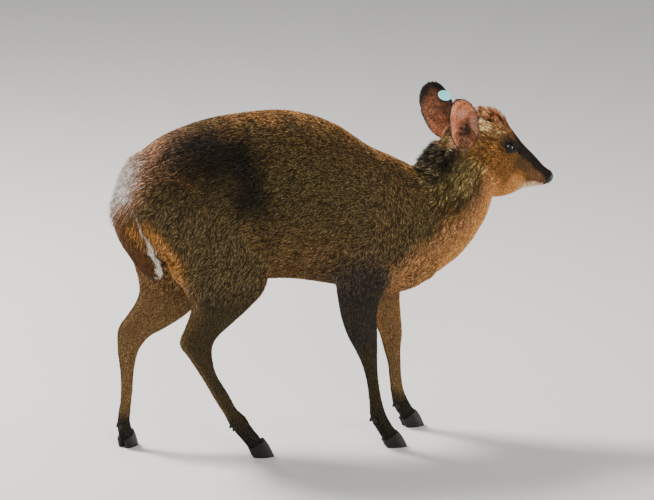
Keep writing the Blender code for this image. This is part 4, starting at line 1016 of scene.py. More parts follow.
def sow(count, wanted, seed):
    """Roots where wanted is high: what the survey says of each, and the draws to go on with."""
    random = np.random.default_rng(seed)
    weight = SKIN_AREA * wanted[skin_faces].mean(axis=1)
    total = np.cumsum(weight)
    at = (np.arange(count) + random.uniform(0, 1, count)) / count * total[-1]
    face = skin_faces[np.minimum(np.searchsorted(total, at), len(skin_faces) - 1)]
    share = random.dirichlet((1, 1, 1), count)
    blended = [
        np.einsum("ij,ijk->ik", share, values[face])
        for values in (skin, normals, skin_lie, skin_shares)
    ]
    nearest = face[np.arange(count), share.argmax(axis=1)]
    root, normal, lie, shares = blended
    return root, unit(normal), lie, shares, skin_along[nearest], skin_angle[nearest], random


def combed(root, normal, lie, shares, random):
    """The coat's lie, along the skin: drawn down the flanks, and streaked by noise."""
    part = parts_of(shares)
    down = np.array((0.0, 0.0, -1.0))
    back = np.array((-1.0, 0.0, 0.0))
    side = 1 - np.abs(normal[:, 2])
    thigh = part["hind"] * rise(root[:, 2], 0.24, 0.34)
    u, v, _ = head_uvy(root)
    cheek = part["skull"] * rise(-v, -0.01, 0.04) * fall(u, 0.0, 0.04)
    lie = lie + down * (part["trunk"] * side * 0.55)[:, None] + back * (thigh * 0.9)[:, None]
    lie = lie + down * (part["neck"] * 0.35)[:, None] + down * (cheek * 0.7)[:, None]
    lie = along_skin(lie, normal)
    by_stripe = bell(path_distance(*seen_from_side(root), TAIL_STRIPE), 0.0090)
    lie = unit(lie + np.array((0.386, 0.0, -0.922)) * (4.0 * by_stripe)[:, None])
    for side in (LEFT, RIGHT):
        away = root - eye_frame(side)[0]
        near_eye = bell(np.linalg.norm(away, axis=1), 0.0175)
        lie = unit(lie + unit(away) * (3.0 * near_eye * part["skull"])[:, None])
        lie = unit(lie + unit(EAR_AXIS * flip(side)) * (2.5 * near_ear(root, side))[:, None])
    lie = along_skin(lie, normal)
    turn = 0.26 * ripple(root, 0.034, 11) + 0.20 * ripple(root, 0.012, 13)
    turn = (turn + random.normal(0, LIE_STRAY, len(root))) * (1 - 0.8 * by_stripe)
    across = np.cross(normal, lie)
    return lie * np.cos(turn)[:, None] + across * np.sin(turn)[:, None]


def clotted(root, normal, lie, length, hubs, pull, depth, stretch, random):
    """Wet hair draws together: a tip leans to the middle of its clot by a share, pull.

    With a stretch a clot is long in the lie and narrow across it; with none it is round,
    and all its tips meet in one point. Returns the new lie, and a tone that differs from
    clot to clot, lighter in its middle and darker to its edge as painted shade in the gaps.
    """
    hub = root[random.choice(len(root), hubs, replace=False)]
    nearest, apart = [], []
    for places, lies in zip(*(np.array_split(values, len(root) // 1500) for values in (root, lie))):
        away = places[:, None, :] - hub
        square = (away**2).sum(axis=2) - stretch * np.einsum("ijk,ik->ij", away, lies) ** 2
        nearest.append(square.argmin(axis=1))
        apart.append(square.min(axis=1))
    nearest, apart = np.concatenate(nearest), np.sqrt(np.concatenate(apart).clip(0))
    away = root - hub[nearest]
    away = away - lie * np.einsum("ij,ij->i", away, lie)[:, None] * (stretch > 0)
    lean = np.broadcast_to(pull, len(root)) / np.broadcast_to(length, len(root))
    lie = along_skin(lie - away * lean[:, None], normal)
    edge = np.clip(apart / np.percentile(apart, 85), 0.0, 1.0)
    # Painted shade: each clot is lighter in its middle and darker towards its edge.
    tone = np.exp(random.normal(0.0, depth, hubs))[nearest] * (1.25 - 0.75 * edge**2)
    return lie, tone


def grow(name, count, wanted, seed, style, hubs=0, pull=None, depth=0.0, stretch=0.85):
    """One piece of coat: style gives each tuft's length, width, lift, bend and tone."""
    root, normal, lie, shares, along, angle, random = sow(count, wanted, seed)
    by_stripe = bell(path_distance(*seen_from_side(root), TAIL_STRIPE), 0.0150)
    stray = COLOUR_STRAY * (1 - 0.85 * shares[:, PART_NAMES.index("skull")]) * (1 - 0.95 * by_stripe)
    stray = stray * rise(root[:, 2], 0.10, 0.40)
    strayed = root + random.normal(0.0, 1.0, root.shape) * stray[:, None]
    colour = coat_colour(strayed, normal, shares, angle)
    lie = combed(root, normal, lie, shares, random)
    length, width, lift, bend, tone, bright = style(root, angle, random)
    if hubs:
        share = pull(root, angle)
        lie, clot_tone = clotted(root, normal, lie, length, hubs, share, depth, stretch, random)
        tone = tone * (1 + (clot_tone - 1) * np.clip(share * 1.3, 0, 1))
    points = tuft_points(root, normal, lie, length, width, lift, bend)
    # Tufts brighter than their colour get a greyed pale band on top: partly the hair's own pale band, partly
    # painted sheen.
    mean = colour.mean(axis=1, keepdims=True)
    pale = np.clip(tone - 1.0, 0.0, 1.5)[:, None] * (1 - mean) ** 4 * np.clip(mean / 0.045, 0, 1) ** 2
    band = colour * tone[:, None] + COAT["pale_band_sheen"] * TIP_GLINT * pale
    shadow, bright = np.full((count, 1), ROOT_SHADOW), np.asarray(bright).reshape(-1, 1)
    faces, colours, uv = tuft_arrays(points, band, shadow, bright, along, angle)
    dress(name, points.reshape(-1, 3), faces, FUR, "coat", (), colours, uv)


print("skin area", round(float(SKIN_AREA.sum()), 3), "m2")

# %% [markdown]
# ## The body's coat
# On the trunk the tufts are up to 10 mm long and lie close, some dark and some with a pale
# band. The rump's stand up a little, and catch the light there. The neck is wet in
# streaks, and down the nape it clots into dark points. Where the hair is plain, a style
# is only a few ranges to draw from, and what makes it shorter and calmer in places.

# %% Trunk and thighs
def drawn(random, root, *ranges):
    """An even draw from each range for each tuft."""
    return [random.uniform(low, high, len(root)) for low, high in ranges]


def trunk_style(root, angle, random):
    """Short, close and speckled by dark tips and pale bands; longer and looser on the rump."""
    rear = rise(-root[:, 0], 0.25, 0.32)
    length, width, lift, loose, which, dark, pale, bright = drawn(
        random, root, (0.0065, 0.0100), (0.0008, 0.0013), (0.18, 0.40), (0.1, 1.2),
        (0.0, 1.0), (0.08, 0.60), (0.9, 2.9), (0.7, 1.7),
    )
    tone = np.where(which < 0.5, dark, pale) * (1 - 0.5 * rear) + 0.5 * rear
    return length * (1 + 0.70 * rear), width, lift + loose * rear, 0.45, tone, bright


part = parts_of(skin_shares)
body = np.clip(part["trunk"] + (part["fore"] + part["hind"]) * rise(skin[:, 2], 0.26, 0.30), 0, 1)
rear_half = rise(-skin[:, 0], 0.02, 0.04)
near = (skin[:, 1] < 0).astype(float)
for name, wanted, seed in (
    ("coat_flank_right", (1 - rear_half) * near, 101),
    ("coat_flank_left", (1 - rear_half) * (1 - near), 102),
    ("coat_haunch_right", rear_half * near, 103),
    ("coat_haunch_left", rear_half * (1 - near), 104),
):
    grow(name, 30000, body * wanted, seed, trunk_style)


# %% Neck and nape
def plain_style(length, width, lift, bend, spread, bright, calm=None):
    """A style from ranges; calm gives a mask, and how much shorter and plainer tufts are there."""

    def style(root, angle, random):
        long, wide, raised = drawn(random, root, length, width, lift)
        where, shorter, plainer = calm(root, angle) if calm else (0.0, 0.0, 0.0)
        tone = np.exp(random.normal(0.0, spread, len(root)) * (1 - plainer * where))
        tip = drawn(random, root, bright)[0]
        return long * (1 - shorter * where), wide, raised, bend, tone, tip

    return style


def nape_style(root, angle, random):
    """Long dark points that stand up along the top of the neck, a few with a painted highlight at the tip.
    """
    length, width, lift, which, tip = drawn(
        random, root, (0.0115, 0.0145), (0.0009, 0.0013), (1.20, 1.45), (0.0, 1.0), (8, 20),
    )
    low = fall(root[:, 2], 0.440, 0.485)
    length = length * (1 + 0.15 * ripple(root, 0.011, 33) - 0.35 * low)
    return length, width, lift, 0.15, np.full(len(root), 0.9), 0.8 + (which > 0.90) * tip


def neck_pull(root, angle):
    """Wet above, drier to the throat."""
    return 0.80 - 0.60 * rise(-np.cos(angle), -0.3, 0.5)


def nape_pull(root, angle):
    """Drawn right together."""
    return np.full(len(root), 1.0)


neck_style = plain_style((0.010, 0.016), (0.0010, 0.0018), (0.15, 0.36), 0.40, 0.50, (0.8, 1.6),
                         lambda root, angle: (rise(-np.cos(angle), 0.1, 0.6), 0.25, 0.50))
grow("coat_neck", 25000, part["neck"], 105, neck_style, 1500, neck_pull, 0.40)
ridge_line = rise(np.cos(skin_angle), 0.60, 0.80) * rise(skin[:, 2], 0.440, 0.465)
on_nape = rise(part["neck"], 0.5, 0.8) * ridge_line
grow("coat_nape", 4800, on_nape, 110, nape_style, 60, nape_pull, 0.20, 0.0)

# %% [markdown]
# ## Face, legs and tail
# Fur is shortest on the face and feet. There it is mostly a matter of colour and of the
# break that small tufts give to the outline.

# %% Face
PALE_SPOT = ((-0.0650, 0.0165), (0.0100, 0.0095))


def crown_mask(u, v, low, high, start, stop):
    """One along the top of the head, falling off down its sides and towards the brow."""
    return rise(v - np.interp(u, SKULL[:, 0], SKULL[:, 1]), low, high) * fall(u, start, stop)


def face_style(root, angle, random):
    """Very short towards the nose, longer on the cheek, and rough on the crown."""
    u, v, _ = head_uvy(root)
    rear = fall(u, -0.05, 0.05)
    crown = crown_mask(u, v, -0.020, -0.008, -0.034, -0.012)
    by_ear = near_ears(root)
    length, width, lift = drawn(random, root, (0.8, 1.2), (0.8, 1.2), (0.12, 0.28))
    length = (0.0034 + 0.0050 * rear + 0.0075 * crown + 0.0060 * by_ear) * length
    width = (0.0006 + 0.0005 * rear + 0.0004 * crown) * width
    lift = lift + 0.95 * crown * rise(ripple(root, 0.014, 31), -0.3, 0.5) + 0.35 * by_ear
    calm = 1 - 0.8 * flat_spot(u, v, *PALE_SPOT)
    tone = np.exp(random.normal(0.0, (0.24 + 0.26 * rear + 0.40 * crown) * calm, len(root)))
    which, bright = drawn(random, root, (0.0, 1.0), (0.85, 1.3))
    return length, width, lift, 0.40, tone, bright + crown * (which > 0.85) * 1.5


def head_pull(root, angle):
    """Rough tufts on the crown, wet streaks behind the cheek, smooth in front."""
    u, v, _ = head_uvy(root)
    crown = crown_mask(u, v, -0.022, -0.010, -0.030, -0.010)
    wet = np.clip(0.9 * crown + 0.75 * fall(u, -0.055, -0.010), 0.0, 0.9)
    return wet * (1 - flat_spot(u, v, *PALE_SPOT))


head_area = part["skull"] * (1 + 1.5 * rise(head_uvy(skin)[0], 0.0, 0.05))
grow("coat_head", 32000, head_area, 106, face_style, 2200, head_pull, 0.45)

# %% Round the roots of the ears
by_ears = near_ears(skin) ** 2
ear_root_style = plain_style((0.007, 0.013), (0.0008, 0.0013), (0.30, 0.90), 0.35, 0.40, (0.9, 2.0))
grow("coat_ear_roots", 5200, by_ears * (part["skull"] + part["neck"]), 111, ear_root_style)

# %% Legs
leg_style = plain_style((0.0045, 0.0075), (0.0008, 0.0013), (0.10, 0.22), 0.45, 0.24, (0.8, 1.4),
                        lambda root, angle: (fall(root[:, 2], 0.05, 0.25), 0.30, 0.25))
low_leg = fall(skin[:, 2], 0.26, 0.30)
grow("coat_forelegs", 19000, part["fore"] * low_leg, 107, leg_style)
grow("coat_hind_legs", 23000, part["hind"] * low_leg, 108, leg_style)


# %% Tail
def by_fringe(root, angle):
    """One along the tail's white inner edge, where tufts are plainer."""
    return bell(path_distance(root[:, 0], root[:, 2], TAIL_STRIPE), 0.0080), 0.0, 0.7


tail_style = plain_style((0.010, 0.016), (0.0011, 0.0018), (0.10, 0.24), 0.35, 0.30, (0.9, 1.3), by_fringe)
tail_area = rise(part["tail"], 0.03, 0.12) * (skin[:, 0] < -0.2)
grow("coat_tail", 8000, tail_area, 109, tail_style)

# %% [markdown]
# ## Ears
# An ear is a cupped leaf, rolled to a tube at its root. Across it the wall is an arc:
# the sine of its angle to the front, and one less the cosine towards the opening. The
# wall is one closed grid that runs out along the back of the ear and returns down its
# inside, thinning to the rim as the real one does.

# %% The ear's leaf
EAR_OPENING = np.array((0.10, 0.97, 0.10))
EAR_REACH = {LEFT: 1.03, RIGHT: 0.96}
EAR_SHAPE = np.array((
    (-0.16, 0.0200, 3.00),
    (-0.06, 0.0260, 2.90),
    (0.02, 0.0300, 2.40),
    (0.10, 0.0325, 1.85),
    (0.20, 0.0340, 1.50),
    (0.35, 0.0345, 1.28),
    (0.55, 0.0345, 1.15),
    (0.75, 0.0295, 1.05),
    (0.88, 0.0225, 0.90),
    (0.96, 0.0145, 0.70),
    (1.00, 0.0055, 0.50),
))
EAR_WALL = 0.0024


def ear_frame(side):
    """The ear's axis, its width from back to front, and the way that it opens."""
    axis = EAR_AXIS * flip(side) * EAR_REACH[side]
    opening = EAR_OPENING * flip(side)
    opening = unit(opening - unit(axis) * (opening @ unit(axis)))
    return axis, np.cross(unit(axis), opening) * -side, opening


def ear_place(side, along, across):
    """Places on the middle of the wall, from along, 0 to 1, and across, -1 to 1."""
    axis, front, opening = ear_frame(side)
    half_arc = np.interp(along, EAR_SHAPE[:, 0], EAR_SHAPE[:, 1])
    half_angle = np.interp(along, EAR_SHAPE[:, 0], EAR_SHAPE[:, 2])
    radius = half_arc / half_angle
    root_radius = EAR_SHAPE[1, 1] / EAR_SHAPE[1, 2]
    turn = half_angle * across
    proud = radius * (1 - np.cos(turn)) - root_radius
    return (EAR_ROOT * flip(side) + along[..., None] * axis + (radius * np.sin(turn))[..., None] * front
            + proud[..., None] * opening)


def ear_ways(side, along, across, before=0.01, after=0.01):
    """The two ways along an ear's wall, and across both the way out of its back."""
    on = ear_place(side, along + after, across) - ear_place(side, along - before, across)
    over = ear_place(side, along, across + after) - ear_place(side, along, across - before)
    return unit(on), unit(over), unit(np.cross(on, over))


def thinning(along, across):
    """How the wall thins towards its rim and its tip."""
    return np.sqrt(np.clip(1 - np.abs(across) ** 3, 0.03, 1)) * np.sqrt(np.clip(1.02 - along, 0.03, 1))


def ear_shell(side):
    """The ear as a closed grid: outside from back to front, then inside back again."""
    knots = np.linspace(0, len(EAR_SHAPE) - 1, 60)
    along = np.interp(knots, np.arange(len(EAR_SHAPE)), EAR_SHAPE[:, 0])
    across = np.sin(np.linspace(-np.pi / 2, np.pi / 2, 44))
    a, c = np.meshgrid(along, across, indexing="ij")
    middle = ear_place(side, a, c)
    out = ear_ways(side, a, c)[2]
    out = -out if out[len(along) // 2, len(across) // 2] @ ear_frame(side)[2] > 0 else out
    wall = out * (EAR_WALL / 2 * thinning(a, c))[..., None]
    rings = np.concatenate((middle + wall, (middle - wall)[:, ::-1]), axis=1)
    points, faces = capped(rings)
    inside = np.concatenate((np.zeros(a.shape), np.ones(a.shape)), axis=1)
    both_a = np.concatenate((a, a[:, ::-1]), axis=1)
    both_c = np.concatenate((c, c[:, ::-1]), axis=1)
    return points, outward(points, faces), both_a.ravel(), both_c.ravel(), inside.ravel()


print("ears reach", EAR_REACH)

# %% [markdown]
# ## The ears' colours
# Seen from behind, an ear is dark along its edge and tip with a redder middle. Its cup
# is pink skin with a few hairs, pale patches of painted sheen, and painted shade low down by its front edge.

# %% Ear colours and material
EAR_CUP, EAR_HOLLOW_SHADE = np.array((0.800, 0.300, 0.150)), np.array((0.040, 0.020, 0.012))
EAR_SHEEN, EAR_HAIR = np.array((0.80, 0.55, 0.42)), np.array((0.78, 0.60, 0.46))
EAR_BACK, EAR_EDGE = np.array((0.230, 0.082, 0.036)), np.array((0.010, 0.006, 0.005))


def ear_colour(along, across, inside, points):
    """Cup and back, each darker towards its margin."""
    rim = np.maximum(rise(across, 0.40, 0.80), rise(-across, 0.72, 0.96))
    tip = rise(along + 0.25 * np.abs(across), 0.74, 0.98)
    cup = EAR_CUP * (1 + 0.30 * ripple(points, 0.016, 41))[:, None].clip(0.3)
    # Painted sheen: pale whitish patches over the upper cup.
    sheen_patch = np.clip(ripple(points, 0.022, 45), 0, 1) * rise(along, 0.25, 0.5)
    cup = blend(cup, EAR_SHEEN, 0.45 * sheen_patch)
    # Painted shade: a dark patch low in the cup by the front edge stands for the shaded opening of the ear.
    low = flat_spot(along, across, (0.22, 0.30), (0.24, 0.52))
    cup = blend(cup, EAR_HOLLOW_SHADE, np.clip(1.25 * low * (1 + 0.4 * ripple(points, 0.009, 47)), 0, 1))
    hem = np.maximum(rise(np.abs(across), 0.84, 1.0), rise(along, 0.90, 1.0))
    cup = blend(cup, EAR_EDGE * 6, 0.75 * hem)
    base = (1 + 0.9 * fall(along, 0.10, 0.45))[:, None]
    back = EAR_BACK * base * (1 + 0.25 * ripple(points, 0.012, 43))[:, None].clip(0.3)
    back = blend(back, EAR_EDGE, np.maximum(rim, tip))
    return np.where(inside[:, None] > 0.5, cup, back)


EAR_SKIN = mottled("ear_skin", 0.6, (260.0, 3.0, (1.0, 1.0, 0.5)), (0.60, 0.56, 0.54), (1.35, 1.32, 1.28),
                   (0.45, 0.3), (0.35, 0.0006), Sheen_Weight=0.2)
for word, side in SIDES.items():
    points, faces, along, across, inside = ear_shell(side)
    colours = ear_colour(along, across, inside, points[:-2])
    colours = np.vstack((colours, colours[:1], colours[-1:]))
    dress(f"ear_leaf_{word}", points, faces, EAR_SKIN, "ear_skin", (f"ear_{word}",), colours)


# %% [markdown]
# ## Down on the ears
# Short down covers both faces of an ear and softens its rim. Longer pale and dark hairs
# stand in the cup, rooted near the front edge and pointing up and back.

# %% Ear tufts
def ear_down(side, count, seed):
    """Tufts on both faces of one ear, with their colours and bake places."""
    random = np.random.default_rng(seed)
    along = random.uniform(0.02, 0.99, count)
    across = random.uniform(-1.0, 1.0, count)
    inside = (random.uniform(0, 1, count) < 0.45).astype(float)
    on, over, out = (ways[:, 0] for ways in ear_ways(side, along[:, None], across[:, None]))
    out = np.where((out @ ear_frame(side)[2] > 0)[:, None], -out, out)
    out = np.where(inside[:, None] > 0.5, -out, out)
    root = ear_place(side, along, across) + out * (EAR_WALL / 2 * thinning(0.0, across))[:, None]
    whisker = inside * flat_spot(along, across, (0.30, 0.85), (0.30, 0.25))
    lie = unit(on + over * (0.5 * np.sign(across) * np.abs(across) ** 3)[:, None])
    lie = unit(lie - over * (1.3 * whisker)[:, None])
    whisker = whisker * random.uniform(0.2, 1.2, count)
    length = random.uniform(0.0035, 0.0055, count) + 0.010 * whisker
    width = random.uniform(0.0006, 0.0010, count)
    lift = random.uniform(0.10, 0.25, count) + 0.5 * whisker
    colour = ear_colour(along, across, inside, root)
    pale = 0.8 * whisker * (random.uniform(0, 1, count) > 0.60)
    band = blend(colour, EAR_HAIR, np.clip(pale, 0, 1)) * np.exp(random.normal(0, 0.25, count))[:, None]
    points = tuft_points(root, out, lie, length, width, lift, 0.4)
    half = 0.25 + 0.5 * (side < 0)
    angle = (across * 0.23 + half - 0.5) * 2 * np.pi
    return points, band, along, angle


pieces = [ear_down(side, 6000, seed) for side, seed in ((LEFT, 201), (RIGHT, 202))]
points, band, along, angle = (np.concatenate(values) for values in zip(*pieces))
faces, colours, uv = tuft_arrays(points, band, 0.7, 1.2, along, angle)
dress("coat_ears", points.reshape(-1, 3), faces, FUR, "coat", (), colours, uv)

# %% [markdown]
# ## Eyes
# A deer's eye is dark and glossy, with a wide oval pupil that lies level. The ball
# is a grid of rings round the way that it looks, so the clear bulge in front and the
# rings of colour are both just functions of the angle from that way.

# %% Eyeballs
IRIS, PUPIL = np.array((0.014, 0.009, 0.007)), np.array((0.004, 0.004, 0.005))
EYE_WHITE = np.array((0.060, 0.045, 0.038))


def eyeball(side):
    """Rings by angle off the way out; the front bulges by a bell of that angle."""
    middle, out, forward, up = eye_frame(side)
    off = np.linspace(0.02, np.pi - 0.02, 56)[:, None]
    turn = full_turn(72)
    radius = EYE_RADIUS * (1 + 0.030 * np.exp(-((off / 0.55) ** 2)))
    ahead = (radius * np.cos(off))[..., None] * out
    points, faces = capped(middle + ahead + ring_round(turn, radius * np.sin(off), forward, up))
    wide = np.hypot(np.sin(off) * np.cos(turn) / 1.35, np.sin(off) * np.sin(turn))
    pupil = fall(wide, 0.26, 0.34)
    white = rise(off + 0 * turn, 0.95, 1.10)
    colour = blend(blend(IRIS, PUPIL, pupil), EYE_WHITE, white).reshape(-1, 3)
    return points, outward(points, faces), np.vstack((colour, colour[:1], colour[-1:]))


EYE = mottled("eye", 0.22, (900.0,), (0.7, 0.7, 0.7), (1.3, 1.25, 1.2),
              Coat_Weight=0.30, Coat_Roughness=0.03, Specular_IOR_Level=0.35)
for word, side in SIDES.items():
    points, faces, colours = eyeball(side)
    dress(f"eyeball_{word}", points, faces, EYE, "eye", (f"eye_{word}",), colours)

# %% [markdown]
# ## Lids
# The lids are one ring of skin with an almond opening. The ring's section starts under
# the rim, rolls over it, swells, and sinks into the cheek. That section is carried round
# the eye, so the grid closes both ways.

# %% Eyelids
LID_HALF_LENGTH, LID_HALF_HEIGHT = 0.0092, 0.0042
LID_BACK, LID_UP = 0.0020, 0.0014
LID_ON_BALL = 0.0098
LID_PROFILE = np.array((
    (0.00, 0.0002), (0.00, 0.0010), (0.03, 0.0018), (0.10, 0.0021), (0.22, 0.0017),
    (0.36, 0.0019), (0.55, 0.0019), (0.75, 0.0008), (1.00, -0.0016),
    (1.00, -0.0045), (0.60, -0.0030), (0.30, -0.0015), (0.10, -0.0006),
))


def eyelids(side):
    """Round the eye by turn; out from the opening by share, with a height at each share."""
    middle, out, forward, up = eye_frame(side)
    turn = full_turn(96)[:, None]
    sine = np.sin(turn)
    edge_x = LID_HALF_LENGTH * np.cos(turn) - LID_BACK
    edge_y = LID_HALF_HEIGHT * sine * np.abs(sine) ** 0.35 + LID_UP
    share, height = LID_PROFILE[:, 0][None, :], LID_PROFILE[:, 1][None, :]
    reach = 0.0122 + 0.0012 * np.cos(turn) ** 2
    px = edge_x + (reach * np.cos(turn) - edge_x) * share
    py = edge_y + (reach * sine - edge_y) * share
    distance = np.hypot(px, py)
    ball = np.sqrt(np.clip(EYE_RADIUS**2 - np.minimum(distance, LID_ON_BALL) ** 2, 0.0, None))
    depth = ball - np.clip(distance - LID_ON_BALL, 0, None) * 0.62
    lift = depth + height + 0.0008 * (sine > 0) * np.abs(sine) * (share > 0.02) * (share < 0.6)
    points = middle + px[..., None] * forward + py[..., None] * up + lift[..., None] * out
    faces = grid_faces(*points.shape[:2], closed=True)
    points = points.reshape(-1, 3)
    share = np.broadcast_to(share, (len(turn), len(LID_PROFILE))).ravel()
    lid, fur = np.array((0.005, 0.004, 0.004)), COAT["eye_dark"] * 1.6
    colour = blend(lid, fur, rise(share, 0.30, 0.9))
    colour[share < 0.02] = (0.004, 0.003, 0.003)
    return points, outward(points, faces), colour


LID = mottled("lid_skin", 0.5, (700.0, 3.0), (0.6, 0.6, 0.6), (1.35, 1.3, 1.3),
              (0.50, 0.3), (0.4, 0.0005), Specular_IOR_Level=0.2)
for word, side in SIDES.items():
    points, faces, colours = eyelids(side)
    dress(f"eyelids_{word}", points, faces, LID, "ear_skin", (), colours)

# %% [markdown]
# ## Nose pad
# The nose is bare, black and wet. It is the front of the skull's own loft, drawn a
# little proud, with two comma-shaped nostrils pressed in and a groove down its middle.
# Real pads are pebbled: a Voronoi cell bump gives that grain.

# %% Nose
NOSE_FROM = 0.0845
NOSTRIL, NOSTRIL_WING = ((0.0925, 0.0088), (0.0962, 0.0058)), ((0.0905, 0.0112), (0.0950, 0.0085))


def nose_pad():
    """Rings of the skull's front, hollowed at the nostrils and along the middle."""
    rows = curve_rows(SKULL_ROWS, 0.0007)
    middle = (rows[:, 0:2] + rows[:, 2:4]) / 2
    u_of = (middle - HEAD_CENTRE[::2]) @ HEAD_U[::2]
    rows = rows[u_of > NOSE_FROM]
    share = np.linspace(0, 1, len(rows))[:, None]
    draw_in = 0.0016 - 0.0018 * rise(share, 0.0, 0.30)
    points, faces = capped(section_points(rows, full_turn(96), draw_in))
    faces = outward(points, faces)
    out = point_normals(points, faces)
    u, v, y = head_uvy(points)
    size = np.abs(y)
    nostril = bell(line_distance(u, size, *NOSTRIL), 0.0023) * bell(v + 0.0045, 0.0034)
    wing = bell(line_distance(u, size, *NOSTRIL_WING), 0.0030) * bell(v + 0.0010, 0.0040)
    groove = bell(y, 0.0010) * rise(u, 0.092, 0.096)
    push = -0.0042 * nostril + 0.0009 * wing - 0.0008 * groove
    return points + out * push[:, None], faces


def nose_material():
    """Black, wet and pebbled."""
    made, shader, wire = material("nose_skin", 0.3, Coat_Weight=0.08, Coat_Roughness=0.08,
                                  Specular_IOR_Level=0.3)
    pebbles = {"Vector": position(wire, (1.0, 1.0, 1.0)), "Scale": 900.0}
    cells = wire.node("TexVoronoi", {"feature": "F1"}, pebbles, output="Distance")
    shade = mix(wire, cells, (0.006, 0.005, 0.005, 1), (0.002, 0.002, 0.002, 1))
    plug(shader, "Base Color", shade)
    plug(shader, "Roughness", 0.24 + cells * 0.2)
    grain_bump(shader, wire, cells, 0.6, 0.0005, invert=True)
    return made


NOSE = nose_material()
dress("nose_pad", *nose_pad(), NOSE, "nose_skin", ("nose",))

# %% [markdown]
# ## Hooves
# Each foot ends in two claws with a cleft between, and two small dewclaws hang behind
# the fetlock. A claw is three ovals from the sole up to the sloping coronet, narrower at
# the toe; more rings between them make its wall curve.

# %% Claws
FEET = {
    "fore_right": (0.1520, -0.050, 0.1400, 0.0185, 5.0),
    "fore_left": (0.2230, 0.052, 0.2105, 0.0210, 5.0),
    "hind_right": (-0.0810, -0.046, -0.0930, 0.0215, 6.0),
    "hind_left": (-0.2745, 0.062, -0.2840, 0.0205, 38.0),
}
CORONET_SLOPE = math.tan(math.radians(33.0))
CLAW_LENGTH, CLAW_WIDTH, CLAW_CLEFT = 0.0360, 0.0122, 0.0014
CLAW_TOP_LENGTH, CLAW_TOP_WIDTH = 0.0250, 0.0118


def toe_out(points, foot):
    """Turn a foot's points about the upright through its ankle, toe outwards."""
    _, y, ankle_x, _, degrees = FEET[foot]
    turn = math.copysign(math.radians(degrees), y)
    ankle = np.array((ankle_x, y, 0.0))
    cosine, sine = math.cos(turn), math.sin(turn)
    turned = np.array(((cosine, sine, 0.0), (-sine, cosine, 0.0), (0.0, 0.0, 1.0)))
    return (points - ankle) @ turned + ankle


def claw(foot, spread):
    """Ovals from the sole to the coronet; the side walls swell half way by a sine."""
    sole_x, y, ankle_x, ankle_z, _ = FEET[foot]
    share = np.linspace(0, 1, 15)[:, None]
    turn = full_turn(40)
    ahead = np.cos(turn)
    toe = np.clip(ahead, 0, None) ** 2
    swell = 0.06 * np.sin(np.pi * share)
    length = (CLAW_LENGTH + (CLAW_TOP_LENGTH - CLAW_LENGTH) * share) * (1 + swell * 0.3)
    width = (CLAW_WIDTH + (CLAW_TOP_WIDTH - CLAW_WIDTH) * share) * (1 + swell)
    x = sole_x + (ankle_x - sole_x) * share + length / 2 * ahead
    across = np.sin(turn) * (1 - 0.35 * toe) - 0.30 * toe
    outward_y = CLAW_CLEFT / 2 + width / 2 * (1 + across) / (1 + swell)
    coronet = ankle_z + (x - ankle_x) * CORONET_SLOPE + 0.0008
    z = np.clip(coronet, 0.002, None) * share
    points, faces = capped(np.stack((x, y + spread * outward_y, z), axis=-1))
    return toe_out(points, foot), faces


def horn_material():
    """Dull dark horn, ringed level as it grows, paler in scattered patches."""
    made, shader, wire = material("claw_horn", 0.5, Specular_IOR_Level=0.25)
    rings = noise(wire, 420.0, 3.0, (0.05, 0.05, 1.0))
    grime = noise(wire, 120.0, 4.0)
    horn = mix(wire, rings, (0.005, 0.004, 0.004, 1), (0.014, 0.012, 0.010, 1))
    plug(shader, "Base Color", mix(wire, grime * 0.35, horn, (0.030, 0.024, 0.018, 1)))
    plug(shader, "Roughness", 0.40 + grime * 0.3)
    grain_bump(shader, wire, rings, 0.4, 0.0006)
    return made


HORN = horn_material()
for foot, (_, foot_y, _, _, _) in FEET.items():
    outer = LEFT if foot_y > 0 else RIGHT
    points, faces = joined([claw(foot, outer), claw(foot, -outer)])
    half = len(faces) // 2
    faces = np.vstack([outward(points, faces[:half]), outward(points, faces[half:])])
    nodes = [f"claw_{foot}_{word}" for word in ("inner", "outer")]
    dress(f"claws_{foot}", points, faces, HORN, "horn", nodes)

# %% Dewclaws
DEWCLAWS = {
    "fore_right": (0.1120, 0.0500), "fore_left": (0.1915, 0.0400),
    "hind_right": (-0.1320, 0.0560), "hind_left": (-0.2930, 0.0390),
}
DEWCLAW_LENGTH, DEWCLAW_RADIUS = 0.0085, 0.0040


def dewclaw(foot, spread):
    """A blunt cone of rings that narrow by a cosine towards its tip."""
    x, z = DEWCLAWS[foot]
    root = np.array((x, FEET[foot][1] + spread * 0.0075, z))
    lie = unit(np.array((-0.55, spread * 0.15, -0.80)))
    beside = unit(np.cross(lie, SIDEWAYS))
    over = np.cross(lie, beside)
    share = np.linspace(0, 1, 12)[:, None]
    turn = full_turn(20)
    radius = DEWCLAW_RADIUS * np.cos(share * 1.30)
    onward = (share * DEWCLAW_LENGTH)[..., None] * lie
    return capped(root + onward + ring_round(turn, radius, beside, over))


shapes = [dewclaw(foot, spread) for foot in FEET for spread in (LEFT, RIGHT)]
shapes = [(points, outward(points - points.mean(axis=0), faces)) for points, faces in shapes]
dress("dewclaws", *joined(shapes), HORN, "horn")

# %% [markdown]
# ## Ear tag
# A round button tag sits in the far ear, near its front edge: a pale blue disc outside,
# dark at its edge and underside as painted shadow, a pin through the ear, and a smaller
# dark disc in the cup. It is one profile turned about the pin, which has play and so leans back.

# %% Tag
TAG_ALONG, TAG_ACROSS = 0.66, 0.45
TAG_FACE_ROWS, TAG_SIDES = 7, 72
TAG_TILT = np.array((-0.20, 0.0, 0.55))
TAG_PROFILE = np.array((
    (0.0001, 0.00750), (0.0060, 0.00750), (0.0078, 0.00752), (0.0084, 0.00775), (0.0092, 0.00775),
    (0.0104, 0.00755), (0.0111, 0.00715), (0.0112, 0.00670), (0.0112, 0.00565), (0.0108, 0.00550),
    (0.0016, 0.00550), (0.0016, -0.00560), (0.0076, -0.00560), (0.0080, -0.00590),
    (0.0080, -0.00730), (0.0076, -0.00760), (0.0001, -0.00760),
))


